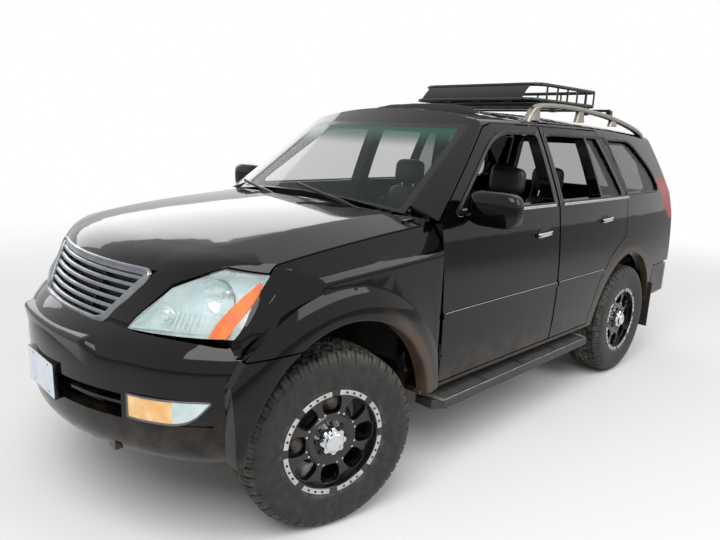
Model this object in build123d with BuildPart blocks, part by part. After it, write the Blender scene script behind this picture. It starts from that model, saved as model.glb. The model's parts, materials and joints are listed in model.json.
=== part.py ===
from build123d import *
from math import cos, radians, sin
import os

# Lifted off-road 4x4, millimetres. Front is -Y, left side +X, up +Z.
# The origin lies on the ground, halfway between both ends and both sides.

# Whole vehicle
HALF_LENGTH = 2390
NOSE_Y = -HALF_LENGTH
TAIL_Y = HALF_LENGTH
WHEELBASE = 2790
FRONT_AXLE_Y = -1485
REAR_AXLE_Y = FRONT_AXLE_Y + WHEELBASE
FAR = 1000
HIGH = 1900

# Wheels and steering
TYRE_RADIUS = 401
WHEEL_X = 795
KINGPIN_X = 690
STEER_REST = -14
HUB_Z = TYRE_RADIUS
SPOKES = 8

# Cabin, its walls and the gaps round what opens
SILL_Z = 450
WAIST_Z = 825
BELT_Z = 1290
SHUT_GAP = 8
WALL = 80
FRAME_WALL = 46
ROOF_WALL = 42
ROOF_EDGE_RADIUS = 70
GLASS_THICKNESS = 8
FIT = 0.3

# Wheel arches
ARCH_FRONT_RADIUS = 520
ARCH_REAR_RADIUS = 500
ARCH_REAR_Y = REAR_AXLE_Y + 20
FLARE_X = 940
FLARE_BAND = 150

os.makedirs("parts", exist_ok=True)


def write(piece, name):
    """Label a finished piece and write it to its own file."""
    piece.label = name
    export_step(piece, f"parts/{name}.step")


def prism(points, plane, length, grow=0, corner=0):
    """Closed outline on a plane, grown by a margin or rounded, run along the plane's normal."""
    with BuildPart() as run:
        with BuildSketch(plane):
            with BuildLine():
                Polyline(*points, close=True)
            make_face()
            if corner:
                fillet(vertices(), radius=corner)
            if grow:
                offset(amount=grow, kind=Kind.INTERSECTION)
        extrude(amount=length)
    return run.part


def prism_x(points, x_from, x_to, grow=0, corner=0):
    """Side-view outline of (y, z) points run across the car."""
    return prism(points, Plane.YZ.offset(x_from), x_to - x_from, grow, corner)


def prism_y(points, y_from, y_to, grow=0, corner=0):
    """Front-view outline of (x, z) points run along the car."""
    return prism(points, Plane.XZ.offset(-y_to), y_to - y_from, grow, corner)


def prism_z(points, z_from, z_to, grow=0, corner=0):
    """Plan outline of (x, y) points run upwards."""
    return prism(points, Plane.XY.offset(z_from), z_to - z_from, grow, corner)


def block(x_range, y_range, z_range):
    """Box between two values on each axis."""
    corners = [
        (x_range[0], y_range[0]),
        (x_range[1], y_range[0]),
        (x_range[1], y_range[1]),
        (x_range[0], y_range[1]),
    ]
    return prism_z(corners, z_range[0], z_range[1])


def both(low, high, side):
    """Range between two distances from the middle, on one side of the car."""
    return sorted((side * low, side * high))


def mirrored(piece):
    """The same piece on the other side of the car."""
    return piece.mirror(Plane.YZ)


def disc_x(radius, y, z, x_from, x_to):
    """Cylinder across the car."""
    with BuildPart() as disc:
        with BuildSketch(Plane.YZ.offset(x_from)):
            with Locations((y, z)):
                Circle(radius)
        extrude(amount=x_to - x_from)
    return disc.part


def rod(start, end, radius):
    """Round bar between two points."""
    run = Vector(*end) - Vector(*start)
    with BuildPart() as bar:
        with BuildSketch(Plane(origin=start, z_dir=run)):
            Circle(radius)
        extrude(amount=run.length)
    return bar.part


# Cabin form: cross-sections along the car
# y, sill x, waist x, belt x, roof-edge x, roof-edge z, roof crown z
CABIN_SECTIONS = [
    (-1060, 892, 914, 874, 680, 1722, 1790),
    (250, 898, 918, 880, 664, 1778, 1848),
    (1400, 896, 915, 872, 647, 1762, 1834),
    (TAIL_Y - 60, 850, 862, 806, 612, 1708, 1768),
]
GLASS_BULGE = 9


def cabin_form(wall, frame_wall, roof_wall, floor_z):
    """Closed form of the cabin, drawn in by its walls."""
    with BuildPart() as form:
        for y, sill_x, waist_x, belt_x, edge_x, edge_z, crown_z in CABIN_SECTIONS:
            top_x = edge_x - frame_wall
            top_z = edge_z - roof_wall
            side_x = belt_x - wall
            middle = ((side_x + top_x) / 2 + GLASS_BULGE, (BELT_Z + top_z) / 2)
            with BuildSketch(Plane.XZ.offset(-y)):
                with BuildLine():
                    Line((wall - sill_x, floor_z), (sill_x - wall, floor_z))
                    ThreePointArc((sill_x - wall, floor_z), (waist_x - wall, WAIST_Z), (side_x, BELT_Z))
                    ThreePointArc((side_x, BELT_Z), middle, (top_x, top_z))
                    ThreePointArc((top_x, top_z), (0, crown_z - roof_wall), (-top_x, top_z))
                    ThreePointArc((-top_x, top_z), (-middle[0], middle[1]), (-side_x, BELT_Z))
                    ThreePointArc((-side_x, BELT_Z), (wall - waist_x, WAIST_Z), (wall - sill_x, floor_z))
                make_face()
                fillet(vertices().group_by(Axis.Y)[-1], radius=ROOF_EDGE_RADIUS - roof_wall)
        loft()
    return form.part


# Windscreen plane: foot and head of its side edges
SCREEN_FOOT = (-940, 1306)
SCREEN_HEAD = (-340, 1740)
SCREEN_RUN = (SCREEN_HEAD[0] - SCREEN_FOOT[0], SCREEN_HEAD[1] - SCREEN_FOOT[1])
SCREEN_LENGTH = (SCREEN_RUN[0] ** 2 + SCREEN_RUN[1] ** 2) ** 0.5
SCREEN_FOOT_X = 699
SCREEN_HEAD_X = 625
SCREEN_BOW = 75
SCREEN_BOW_X = 900
SCREEN_SIDE_DROP = 50


def screen_plane(back):
    """Plane across the windscreen's slope, drawn back along its normal."""
    slope = Vector(0, SCREEN_RUN[0], SCREEN_RUN[1]).normalized()
    inward = Vector(0, slope.Z, -slope.Y)
    foot = Vector(0, SCREEN_FOOT[0], SCREEN_FOOT[1]) - slope * SCREEN_LENGTH * 0.6
    return Plane(origin=foot + inward * back, x_dir=(1, 0, 0), z_dir=slope)


def screen_band(back, depth):
    """Bowed sheet along the windscreen; a negative depth takes all in front of it."""
    near = SCREEN_SIDE_DROP
    deep = SCREEN_SIDE_DROP + depth
    wide = SCREEN_BOW_X
    with BuildPart() as band:
        with BuildSketch(screen_plane(back)):
            with BuildLine():
                ThreePointArc((-wide, near), (0, -SCREEN_BOW), (wide, near))
                Line((wide, near), (wide, deep))
                if depth > 0:
                    ThreePointArc((wide, deep), (0, depth - SCREEN_BOW), (-wide, deep))
                else:
                    Line((wide, deep), (-wide, deep))
                Line((-wide, deep), (-wide, near))
            make_face()
        extrude(amount=SCREEN_LENGTH * 2.2)
    return band.part


# Tail: side view of the rear end, as distances ahead of it, with heights
TAIL_PROFILE = [(315, 1860), (300, 1730), (178, 1290), (108, 1000), (100, 300)]
REAR_CORNER_RADIUS = 190
TAIL_WALL = 70


def tail_form(inset):
    """All that lies ahead of the rear end, with its corners rounded in plan."""
    outline = [(TAIL_Y - ahead - inset, z) for ahead, z in TAIL_PROFILE]
    outline += [(-1400, 300), (-1400, 1860)]
    length = TAIL_Y - TAIL_PROFILE[-1][0] + 1295
    with BuildPart() as form:
        add(prism_x(outline, -FAR, FAR))
        with BuildSketch(Plane.XY.offset(300)):
            with Locations((0, length / 2 - 1295)):
                RectangleRounded(2 * 925, length - 2 * inset, REAR_CORNER_RADIUS)
        extrude(amount=1600, mode=Mode.INTERSECT)
    return form.part


cabin_outer = cabin_form(0, 0, 0, SILL_Z) & tail_form(0)
cabin_outer = cabin_outer - screen_band(0, -900)
cabin_inner = cabin_form(WALL, FRAME_WALL, ROOF_WALL, SILL_Z - 10) & tail_form(TAIL_WALL)
cabin_inner = cabin_inner - screen_band(36, -900)
COWL_REAR_Y = -905
behind_cowl = block((-FAR, FAR), (COWL_REAR_Y - 75, TAIL_Y), (0, 2000))
shell = (cabin_outer - cabin_inner) & behind_cowl

# Side view of the doors, (y, z)
DOOR_BOTTOM_Z = 478
DOOR_TOP_Z = 1752
DOOR_FRONT_Y = -862
DOOR_SPLIT_Y = 251
DOOR_X = (600, FAR)
FRONT_DOOR = [
    (DOOR_FRONT_Y + 24, DOOR_BOTTOM_Z),
    (DOOR_FRONT_Y + 2, 900),
    (DOOR_FRONT_Y, 1300),
    (-330, 1729),
    (-240, DOOR_TOP_Z),
    (DOOR_SPLIT_Y - SHUT_GAP, DOOR_TOP_Z),
    (DOOR_SPLIT_Y - SHUT_GAP, DOOR_BOTTOM_Z),
]
FRONT_WINDOW = [(-738, 1318), (-235, 1702), (205, 1708), (205, 1318)]
REAR_DOOR = [
    (DOOR_SPLIT_Y + SHUT_GAP, DOOR_BOTTOM_Z),
    (DOOR_SPLIT_Y + SHUT_GAP, DOOR_TOP_Z),
    (REAR_AXLE_Y - 270, DOOR_TOP_Z - 6),
    (REAR_AXLE_Y - 70, 1290),
    (REAR_AXLE_Y - 90, 1040),
    (REAR_AXLE_Y - 305, 930),
    (REAR_AXLE_Y - 455, 780),
    (REAR_AXLE_Y - 535, 600),
    (REAR_AXLE_Y - 565, DOOR_BOTTOM_Z),
]
REAR_WINDOW = [(298, 1318), (298, 1708), (REAR_AXLE_Y - 495, 1704), (REAR_AXLE_Y - 495, 1318)]
REAR_PANE = [
    (REAR_AXLE_Y - 467, 1318),
    (REAR_AXLE_Y - 467, 1703),
    (REAR_AXLE_Y - 305, 1700),
    (REAR_AXLE_Y - 140, 1318),
]
QUARTER_WINDOW = [
    (REAR_AXLE_Y - 43, 1322),
    (REAR_AXLE_Y - 197, 1694),
    (TAIL_Y - 790, 1686),
    (TAIL_Y - 500, 1450),
    (TAIL_Y - 470, 1322),
]
WINDOW_CORNER = 22

# Roof skin between the roof edges
ROOF_X = 560
ROOF_Z = 1600
ROOF_REGION = ((-ROOF_X, ROOF_X), (-700, TAIL_Y), (ROOF_Z, HIGH))

# Tail lamps, side view, as distances ahead of the rear end, outboard of the tail door
TAIL_LAMP = [(485, 1412), (90, 1412), (90, 1092), (215, 1092), (345, 1190)]
TAIL_LAMP_X = 762
TAIL_LAMP_DEPTH = 50
tail_lamp_outline = [(TAIL_Y - ahead, z) for ahead, z in TAIL_LAMP]

# Tail door, front view (x, z)
TAIL_DOOR = [(-725, 760), (-725, 1285), (-570, 1712), (570, 1712), (725, 1285), (725, 760)]
TAIL_WINDOW = [(-640, 1300), (-520, 1655), (520, 1655), (640, 1300)]
TAIL_GAP = 26
TAIL_REACH = (TAIL_Y - 400, TAIL_Y)

arch_rear = disc_x(ARCH_REAR_RADIUS, ARCH_REAR_Y, HUB_Z, 420, FAR)
arch_front = disc_x(ARCH_FRONT_RADIUS, FRONT_AXLE_Y, HUB_Z, 420, FAR)

# Door hinges: a leaf on the post carries a pin in each door's front edge
HINGE_X = 898
HINGE_PIN_RADIUS = 5
HINGE_BARREL_RADIUS = 7
HINGE_HEIGHTS = (640, 880)
HINGE_LEAF_HEIGHT = 50
HINGE_PIN_LENGTH = 80
HINGE_FRONT_Y = DOOR_FRONT_Y + 14
HINGE_REAR_Y = DOOR_SPLIT_Y + 28


def hinge_leaf(y):
    """Body half of a door's two hinges."""
    half = HINGE_LEAF_HEIGHT / 2
    with BuildPart() as leaf:
        for z in HINGE_HEIGHTS:
            thick = HINGE_BARREL_RADIUS
            add(block((780, HINGE_X), (y - thick, y + thick), (z - half, z + half)))
            with Locations((HINGE_X, y, z)):
                Cylinder(HINGE_BARREL_RADIUS, HINGE_LEAF_HEIGHT)
                Cylinder(HINGE_PIN_RADIUS, HINGE_PIN_LENGTH)
    return leaf.part


def hinge_notch(y):
    """Room for the leaves and pins in the door's front edge."""
    half = HINGE_LEAF_HEIGHT / 2 + FIT
    with BuildPart() as notch:
        for z in HINGE_HEIGHTS:
            add(block((700, HINGE_X + 8), (y - 60, y + 13), (z - half, z + half)))
            with Locations((HINGE_X, y, z)):
                Cylinder(HINGE_PIN_RADIUS + FIT, HINGE_PIN_LENGTH + 2)
    return notch.part


# Tail door's outer hinges on its right-hand edge
TAIL_HINGE = (-738, TAIL_Y - 88)
TAIL_BARREL_RADIUS = 11
TAIL_BARREL_LENGTH = 30
TAIL_HINGE_HEIGHTS = (800, 1000)


def tail_hinge(on_door):
    """Leaf and barrel of the tail hinges, above for the door and below for the body."""
    x, y = TAIL_HINGE
    xs = (x, x + 60) if on_door else (x - 50, x)
    with BuildPart() as half_hinge:
        for z in TAIL_HINGE_HEIGHTS:
            low = z + FIT if on_door else z - TAIL_BARREL_LENGTH
            add(block(xs, (y - 24, y - 4), (low, low + TAIL_BARREL_LENGTH)))
            with BuildSketch(Plane.XY.offset(low)):
                with Locations((x, y)):
                    Circle(TAIL_BARREL_RADIUS)
            extrude(amount=TAIL_BARREL_LENGTH)
    return half_hinge.part


# Windscreen opening, front view (x, z)
SCREEN_OPENING = [
    (-SCREEN_FOOT_X, SCREEN_FOOT[1]),
    (-350, 1342),
    (0, 1354),
    (350, 1342),
    (SCREEN_FOOT_X, SCREEN_FOOT[1]),
    (SCREEN_HEAD_X, SCREEN_HEAD[1]),
    (-SCREEN_HEAD_X, SCREEN_HEAD[1]),
]
screen_hole = prism_y(SCREEN_OPENING, -1200, -200)
write(screen_band(0, GLASS_THICKNESS) & screen_hole, "windscreen")

# Posts and sill that the doors shut against, inboard of them
POST_X = (735, 785)
POST_FRONT_Y = (-975, -890)
SILL_END_Y = REAR_AXLE_Y - 515
BOARD_TOP_Z = 392
tail_hole = prism_y(TAIL_DOOR, *TAIL_REACH, grow=TAIL_GAP)
with BuildPart() as side_left:
    add(shell & block((0, FAR), (-1000, TAIL_Y), (SILL_Z, HIGH)))
    add(prism_x(FRONT_DOOR, *DOOR_X, grow=SHUT_GAP), mode=Mode.SUBTRACT)
    add(prism_x(REAR_DOOR, *DOOR_X, grow=SHUT_GAP), mode=Mode.SUBTRACT)
    add(prism_x(QUARTER_WINDOW, *DOOR_X, corner=WINDOW_CORNER), mode=Mode.SUBTRACT)
    add(block((0, FAR), (-1000, -840), (0, BELT_Z)), mode=Mode.SUBTRACT)
    add(block((0, FAR), (-1000, -892), (0, 1360)), mode=Mode.SUBTRACT)
    add(block(*ROOF_REGION), mode=Mode.SUBTRACT)
    add(screen_hole, mode=Mode.SUBTRACT)
    add(arch_rear, mode=Mode.SUBTRACT)
    add(tail_hole, mode=Mode.SUBTRACT)
    add(block((0, FAR), (ARCH_REAR_Y + 515, TAIL_Y), (0, 742)), mode=Mode.SUBTRACT)
    add(prism_x(tail_lamp_outline, TAIL_LAMP_X, FAR), mode=Mode.SUBTRACT)
    add(block(POST_X, POST_FRONT_Y, (SILL_Z, 1225)))
    add(block(POST_X, (POST_FRONT_Y[0], SILL_END_Y), (SILL_Z, 565)))
    add(block(POST_X, (DOOR_SPLIT_Y - 51, DOOR_SPLIT_Y + 51), (SILL_Z, 1280)))
    add(block((POST_X[0], 888), (POST_FRONT_Y[0], SILL_END_Y), (SILL_Z, DOOR_BOTTOM_Z - SHUT_GAP)))
    add(block(POST_X, (POST_FRONT_Y[1], -838), (600, 920)))
    add(hinge_leaf(HINGE_FRONT_Y))
    add(hinge_leaf(HINGE_REAR_Y))
write(side_left.part, "body_side_left")
write(mirrored(side_left.part) + tail_hinge(False), "body_side_right")

write((shell & block(*ROOF_REGION)) - screen_hole - tail_hole, "roof_panel")

# Side strip and handle of each door: handle's middle (y, z)
STRIP_Z = (812, 838)
STRIP_PROUD = 7
HANDLE_LENGTH = 150
HANDLE_PROUD = 34
strip_region = block((0, FAR), (DOOR_FRONT_Y - 5, REAR_AXLE_Y), STRIP_Z)
strip_layer = (cabin_form(-STRIP_PROUD, 0, 0, SILL_Z) & strip_region) - cabin_form(6, 0, 0, SILL_Z)


def door_handle(y, z):
    """Pull handle on two feet, clear of the door skin behind the fingers."""
    half = HANDLE_LENGTH / 2
    bar_x = 890 + HANDLE_PROUD - 10
    with BuildPart() as handle:
        add(rod((bar_x, y - half, z - 3), (bar_x, y + half, z + 3), 10))
        for end in (-half + 12, half - 12):
            add(rod((870, y + end, z), (bar_x, y + end, z), 9))
    return handle.part


ARCH_DOOR_CUT = disc_x(ARCH_REAR_RADIUS + 60, ARCH_REAR_Y, HUB_Z, 420, FAR)
DOORS = [
    ("door_front", FRONT_DOOR, [FRONT_WINDOW], HINGE_FRONT_Y, (45, 1149)),
    ("door_rear", REAR_DOOR, [REAR_WINDOW, REAR_PANE], HINGE_REAR_Y, (863, 1175)),
]
for name, outline, windows, hinge_y, handle_place in DOORS:
    with BuildPart() as door:
        add(shell & prism_x(outline, *DOOR_X))
        for window in windows:
            add(prism_x(window, *DOOR_X, corner=WINDOW_CORNER), mode=Mode.SUBTRACT)
        add(strip_layer & prism_x(outline, *DOOR_X))
        add(door_handle(*handle_place))
        add(ARCH_DOOR_CUT, mode=Mode.SUBTRACT)
        add(hinge_notch(hinge_y), mode=Mode.SUBTRACT)
    write(door.part, name + "_left")
    write(mirrored(door.part), name + "_right")

# Glass layer set back in the walls
GLASS_SETBACK = 12
GLASS_INSIDE = GLASS_SETBACK + GLASS_THICKNESS
glass_outer = cabin_form(GLASS_SETBACK, GLASS_SETBACK, GLASS_SETBACK, SILL_Z) & tail_form(GLASS_SETBACK)
glass_inner = cabin_form(GLASS_INSIDE, GLASS_INSIDE, GLASS_INSIDE, SILL_Z) & tail_form(GLASS_INSIDE)
glass_layer = glass_outer - glass_inner
pane = glass_layer & prism_x(REAR_PANE, *DOOR_X, corner=WINDOW_CORNER)
write(pane, "door_rear_pane_left")
write(mirrored(pane), "door_rear_pane_right")
quarter = glass_layer & prism_x(QUARTER_WINDOW, *DOOR_X, corner=WINDOW_CORNER)
with BuildPart() as quarter_glasses:
    add(quarter)
    add(mirrored(quarter))
write(quarter_glasses.part, "quarter_glasses")
tail_window = prism_y(TAIL_WINDOW, *TAIL_REACH, corner=WINDOW_CORNER)
write(glass_layer & tail_window, "tail_glass")
write((shell & prism_y(TAIL_DOOR, *TAIL_REACH)) - tail_window + tail_hinge(True), "tail_door")

# Front end: cross-sections along the car
# y, side x, shoulder z, shut-line z, ridge x, ridge z, crown z
FRONT_SECTIONS = [
    (-840, 908, 1150, 1276, 640, 1318, 1342),
    (-1400, 908, 1120, 1228, 615, 1278, 1302),
    (NOSE_Y + 540, 895, 1090, 1172, 582, 1226, 1247),
    (NOSE_Y + 60, 860, 1010, 1080, 490, 1118, 1138),
]
BONNET_SHUT_X = 812
FRONT_BOTTOM_Z = 470
SHOULDER_RADIUS = 70
SHOULDER_DRAW = 0.6
RIDGE_RADIUS = 130
# Nose plan by height: z, then distances behind the nose at the middle, brow, cheek, corner and side
NOSE_BROW_X = 450
NOSE_LEVELS = [
    (850, 78, 150, (665, 240), (855, 380), (930, 650)),
    (935, 119, 191, (661, 286), (846, 443), (922, 699)),
    (1020, 161, 233, (656, 332), (837, 506), (913, 749)),
    (1100, 202, 274, (652, 377), (828, 565), (905, 795)),
    (1155, 240, 315, (650, 408), (826, 602), (902, 826)),
    (1195, 305, 385, (648, 470), (822, 655), (898, 860)),
    (1228, 400, 490, (646, 580), (818, 760), (895, 930)),
    (1262, 560, 650, (644, 750), (815, 930), (892, 1050)),
]
NOSE_LOW_Y = NOSE_Y + 385


def nose_form(wall):
    """All that lies behind the nose's surface, drawn back by a wall."""
    back = -800
    with BuildPart() as nose:
        for z, middle, brow, cheek, corner, side in NOSE_LEVELS:
            brow_point = (NOSE_BROW_X, NOSE_Y + brow + wall)
            cheek_point = (cheek[0], NOSE_Y + cheek[1] + wall)
            corner_point = (corner[0] - wall / 2, NOSE_Y + corner[1] + wall)
            side_point = (side[0], NOSE_Y + side[1] + wall)
            with BuildSketch(Plane.XY.offset(z)):
                with BuildLine():
                    for way in (1, -1):
                        points = [(way * x, y) for x, y in (brow_point, cheek_point, corner_point, side_point)]
                        ThreePointArc(points[0], points[1], points[2])
                        Line(points[2], points[3])
                        Line(points[3], (way * FAR, back))
                    ThreePointArc(
                        (-brow_point[0], brow_point[1]), (0, NOSE_Y + middle + wall), brow_point
                    )
                    Line((-FAR, back), (FAR, back))
                make_face()
        loft()
        extrude(faces().sort_by(Axis.Z)[-1], amount=1400 - NOSE_LEVELS[-1][0])
    return nose.part + block((-FAR, FAR), (NOSE_LOW_Y, back), (400, NOSE_LEVELS[0][0]))


def front_form(wall):
    """Closed form of bonnet, wings and nose, drawn in by a wall."""
    with BuildPart() as form:
        for y, side_x, shoulder_z, shut_z, ridge_x, ridge_z, crown_z in FRONT_SECTIONS:
            half = [
                (side_x - wall, FRONT_BOTTOM_Z),
                (side_x - wall, shoulder_z - SHOULDER_DRAW * wall),
                (BONNET_SHUT_X - SHOULDER_DRAW * wall, shut_z - wall),
                (ridge_x, ridge_z - wall),
            ]
            shoulder_radius = SHOULDER_RADIUS - SHOULDER_DRAW * wall
            with BuildSketch(Plane.XZ.offset(-y)):
                with BuildLine():
                    Polyline(*[(-x, z) for x, z in reversed(half)])
                    Line((-half[0][0], FRONT_BOTTOM_Z), half[0])
                    Polyline(*half)
                    ThreePointArc(half[3], (0, crown_z - wall), (-ridge_x, ridge_z - wall))
                make_face()
                for corner, radius in ((half[1], shoulder_radius), (half[3], RIDGE_RADIUS)):
                    picked = [
                        v for v in vertices() if abs(abs(v.X) - corner[0]) < 0.1 and abs(v.Y - corner[1]) < 0.1
                    ]
                    fillet(picked, radius=radius)
        loft()
    return form.part & nose_form(wall)


FRONT_SKIN = 36
GRILLE_DEPTH = 60
LAMP_DEPTH = 110
front_outer = front_form(0)
front_under_skin = front_form(FRONT_SKIN)
front_behind_grille = front_form(GRILLE_DEPTH)
front_shell = front_outer - front_under_skin

# Bonnet edge, front view (x, z), with the nose piece between the lamps
BONNET_EDGE = [(812, 1500), (812, 1152), (705, 1170), (560, 1094), (436, 912), (330, 894)]
bonnet_outline = BONNET_EDGE + [(-x, z) for x, z in reversed(BONNET_EDGE)]
GRILLE = [(474, 1132), (312, 904), (-312, 904), (-474, 1132)]
LAMP_OUTLINE = [(446, 918), (566, 1082), (706, 1158), (818, 1142), (850, 1090), (855, 926)]
LAMP_REAR = [
    (NOSE_Y - 10, 880), (NOSE_Y + 400, 905), (NOSE_Y + 584, 1150), (NOSE_Y + 584, 1250), (NOSE_Y - 10, 1250)
]
FRONT_REACH = (NOSE_Y - 10, -800)
LINE_GAP = 6

# Bonnet hinge line (y, z), with a lug of the bonnet between two ears of the cowl
BONNET_HINGE = (-935, 1274)
BONNET_PIN_RADIUS = 5
BONNET_LUG_X = (745, 765)
BONNET_EAR = 15

# Rear edge of the bonnet follows the foot of the windscreen
with BuildPart() as bonnet_rear:
    with BuildSketch(Plane.XY.offset(800)):
        with BuildLine():
            ThreePointArc((-FAR, -885), (0, -1060), (FAR, -885))
            Polyline((FAR, -885), (FAR, NOSE_Y - 10), (-FAR, NOSE_Y - 10), (-FAR, -885))
        make_face()
    extrude(amount=700)
lamp_hole = prism_y(LAMP_OUTLINE, *FRONT_REACH) & prism_x(LAMP_REAR, 0, FAR)
with BuildPart() as bonnet:
    add(front_shell & prism_y(bonnet_outline, *FRONT_REACH) & bonnet_rear.part)
    add(prism_y(GRILLE, *FRONT_REACH), mode=Mode.SUBTRACT)
    for side in (1, -1):
        hinge_y, hinge_z = BONNET_HINGE
        add(block(both(*BONNET_LUG_X, side), (hinge_y - 75, hinge_y + 10), (hinge_z - 12, hinge_z + 12)))
        pin_x = both(BONNET_LUG_X[0] - 10, BONNET_LUG_X[1] + 10, side)
        add(disc_x(BONNET_PIN_RADIUS + FIT, hinge_y, hinge_z, *pin_x), mode=Mode.SUBTRACT)
write(bonnet.part, "bonnet")

# Grille: frame, louvre bars and the mesh plate behind them, all following the nose
GRILLE_FRAME = 26
GRILLE_BARS = 6
GRILLE_BAR_HEIGHT = 15
grille_bottom, grille_top = GRILLE[1][1], GRILLE[0][1]
grille_pitch = (grille_top - grille_bottom - 2 * GRILLE_FRAME) / GRILLE_BARS
with BuildPart() as grille:
    add((front_outer - front_behind_grille) & prism_y(GRILLE, *FRONT_REACH))
    add(prism_y(GRILLE, *FRONT_REACH, grow=-GRILLE_FRAME), mode=Mode.SUBTRACT)
    bars = front_shell & prism_y(GRILLE, *FRONT_REACH)
    for row in range(GRILLE_BARS):
        low = grille_bottom + GRILLE_FRAME + (row + 0.5) * grille_pitch - GRILLE_BAR_HEIGHT / 2
        add(bars & block((-FAR, FAR), FRONT_REACH, (low, low + GRILLE_BAR_HEIGHT)))
    add((front_under_skin - front_behind_grille) & prism_y(GRILLE, *FRONT_REACH))
write(grille.part, "grille")

lamp = (front_outer - front_form(LAMP_DEPTH)) & lamp_hole
write(lamp, "headlamp_left")
write(mirrored(lamp), "headlamp_right")

# Front bumper: plan at its widest as (x, distance behind the nose), and how far it draws in by height
BUMPER_PLAN = [(0, 10), (525, 135), (740, 265), (905, 460), (930, 720)]
BUMPER_WALL = 70
# z, draw-in
BUMPER_LEVELS = [
    (425, 62), (460, 30), (530, 6), (620, 0), (695, 0), (770, 0), (830, 9), (872, 32), (905, 68), (945, 118),
]
BUMPER_BOTTOM_Z = BUMPER_LEVELS[0][0]
INTAKE_Z = (592, 690)
FOG_Z = (600, 700)
FOG_X = (530, 813)
PLATE = (152, 572, 724)


def bumper_form(wall):
    """Front bumper's form, drawn in by a wall, as plans at each height."""
    with BuildPart() as form:
        for z, draw_in in BUMPER_LEVELS:
            inset = draw_in + wall
            turns = ((0, 1), (0.25, 0.97), (0.62, 0.78), (0.9, 0.44), (1, 0))
            points = [
                (x - inset * across, NOSE_Y + back + inset * along)
                for (x, back), (across, along) in zip(BUMPER_PLAN, turns)
            ]
            middle, brow, cheek, corner, side = points
            with BuildSketch(Plane.XY.offset(z)):
                with BuildLine():
                    ThreePointArc((-brow[0], brow[1]), middle, brow)
                    for way in (1, -1):
                        ThreePointArc(*[(way * point[0], point[1]) for point in (brow, cheek, corner)])
                        Line((way * corner[0], corner[1]), (way * side[0], side[1]))
                    Line((side[0], side[1]), (-side[0], side[1]))
                make_face()
        loft()
    return form.part


def flare(radius, y, x_side):
    """Bulged arch lip, revolved about the wheel's line."""
    with BuildPart() as lip:
        with BuildSketch(Plane.XY):
            with BuildLine():
                Line((x_side - 40, radius), (x_side - 40, radius + FLARE_BAND))
                Line((x_side - 40, radius + FLARE_BAND), (x_side - 2, radius + FLARE_BAND))
                ThreePointArc(
                    (x_side - 2, radius + FLARE_BAND), (FLARE_X - 10, radius + 72), (FLARE_X, radius + 14)
                )
                ThreePointArc((FLARE_X, radius + 14), (FLARE_X - 4, radius + 4), (FLARE_X - 14, radius))
                Line((FLARE_X - 14, radius), (x_side - 40, radius))
            make_face()
        revolve(axis=Axis.X, revolution_arc=360)
    return Pos(0, y, HUB_Z) * lip.part


SPLIT_Z = 857
WING_FRONT_Y = NOSE_Y + 410
WING_REAR_Y = DOOR_FRONT_Y - 14
front_flare = flare(ARCH_FRONT_RADIUS, FRONT_AXLE_Y, 906)
bumper_outer = bumper_form(0)
bumper_reach = block((-FAR, FAR), (NOSE_Y, WING_FRONT_Y), (0, FAR)) + block(
    (-FAR, FAR), (NOSE_Y, NOSE_Y + 720), (0, SPLIT_Z)
)
with BuildPart() as front_bumper:
    add(bumper_outer & bumper_reach)
    for side in (1, -1):
        corner_piece = block((800, FAR), (WING_FRONT_Y - 60, FRONT_AXLE_Y), (480, SPLIT_Z))
        lip = front_flare & corner_piece
        add(lip if side > 0 else mirrored(lip))
    add(bumper_form(BUMPER_WALL) & block((-FAR, FAR), (NOSE_Y, 0), (0, 850)), mode=Mode.SUBTRACT)
    add(bumper_form(2.2 * BUMPER_WALL) & block((-FAR, FAR), (NOSE_Y, 0), (800, FAR)), mode=Mode.SUBTRACT)
    add(block((-460, 460), (NOSE_Y + 195, 0), (0, FAR)), mode=Mode.SUBTRACT)
    add(block((-505, 505), (NOSE_Y, NOSE_Y + 190), INTAKE_Z), mode=Mode.SUBTRACT)
    for side in (1, -1):
        fog_across = both(FOG_X[0] - FIT, FOG_X[1] + FIT, side)
        fog_room = block(fog_across, (NOSE_Y, -1900), (FOG_Z[0] - FIT, FOG_Z[1] + FIT))
        add(fog_room, mode=Mode.SUBTRACT)
    add(disc_x(ARCH_FRONT_RADIUS, FRONT_AXLE_Y, HUB_Z, -FAR, FAR), mode=Mode.SUBTRACT)
    add(front_outer & block((-FAR, FAR), FRONT_REACH, (892, 1400)), mode=Mode.SUBTRACT)
    blade = (bumper_form(20) - bumper_form(60)) & block((-508, 508), (NOSE_Y, -2100), (636, 648))
    add(blade)
    add(block((-PLATE[0], PLATE[0]), (NOSE_Y + 2, NOSE_Y + 18), PLATE[1:]))
    for side in (1, -1):
        add(block(both(370, 440, side), (NOSE_Y + 120, NOSE_Y + 200 - FIT), (430, 515)))
write(front_bumper.part, "front_bumper")

fog_layer = bumper_form(4) - bumper_form(54)
with BuildPart() as fog_lamps:
    for side in (1, -1):
        add(fog_layer & block(both(*FOG_X, side), (NOSE_Y, -1900), FOG_Z))
write(fog_lamps.part, "fog_lamps")

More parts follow.
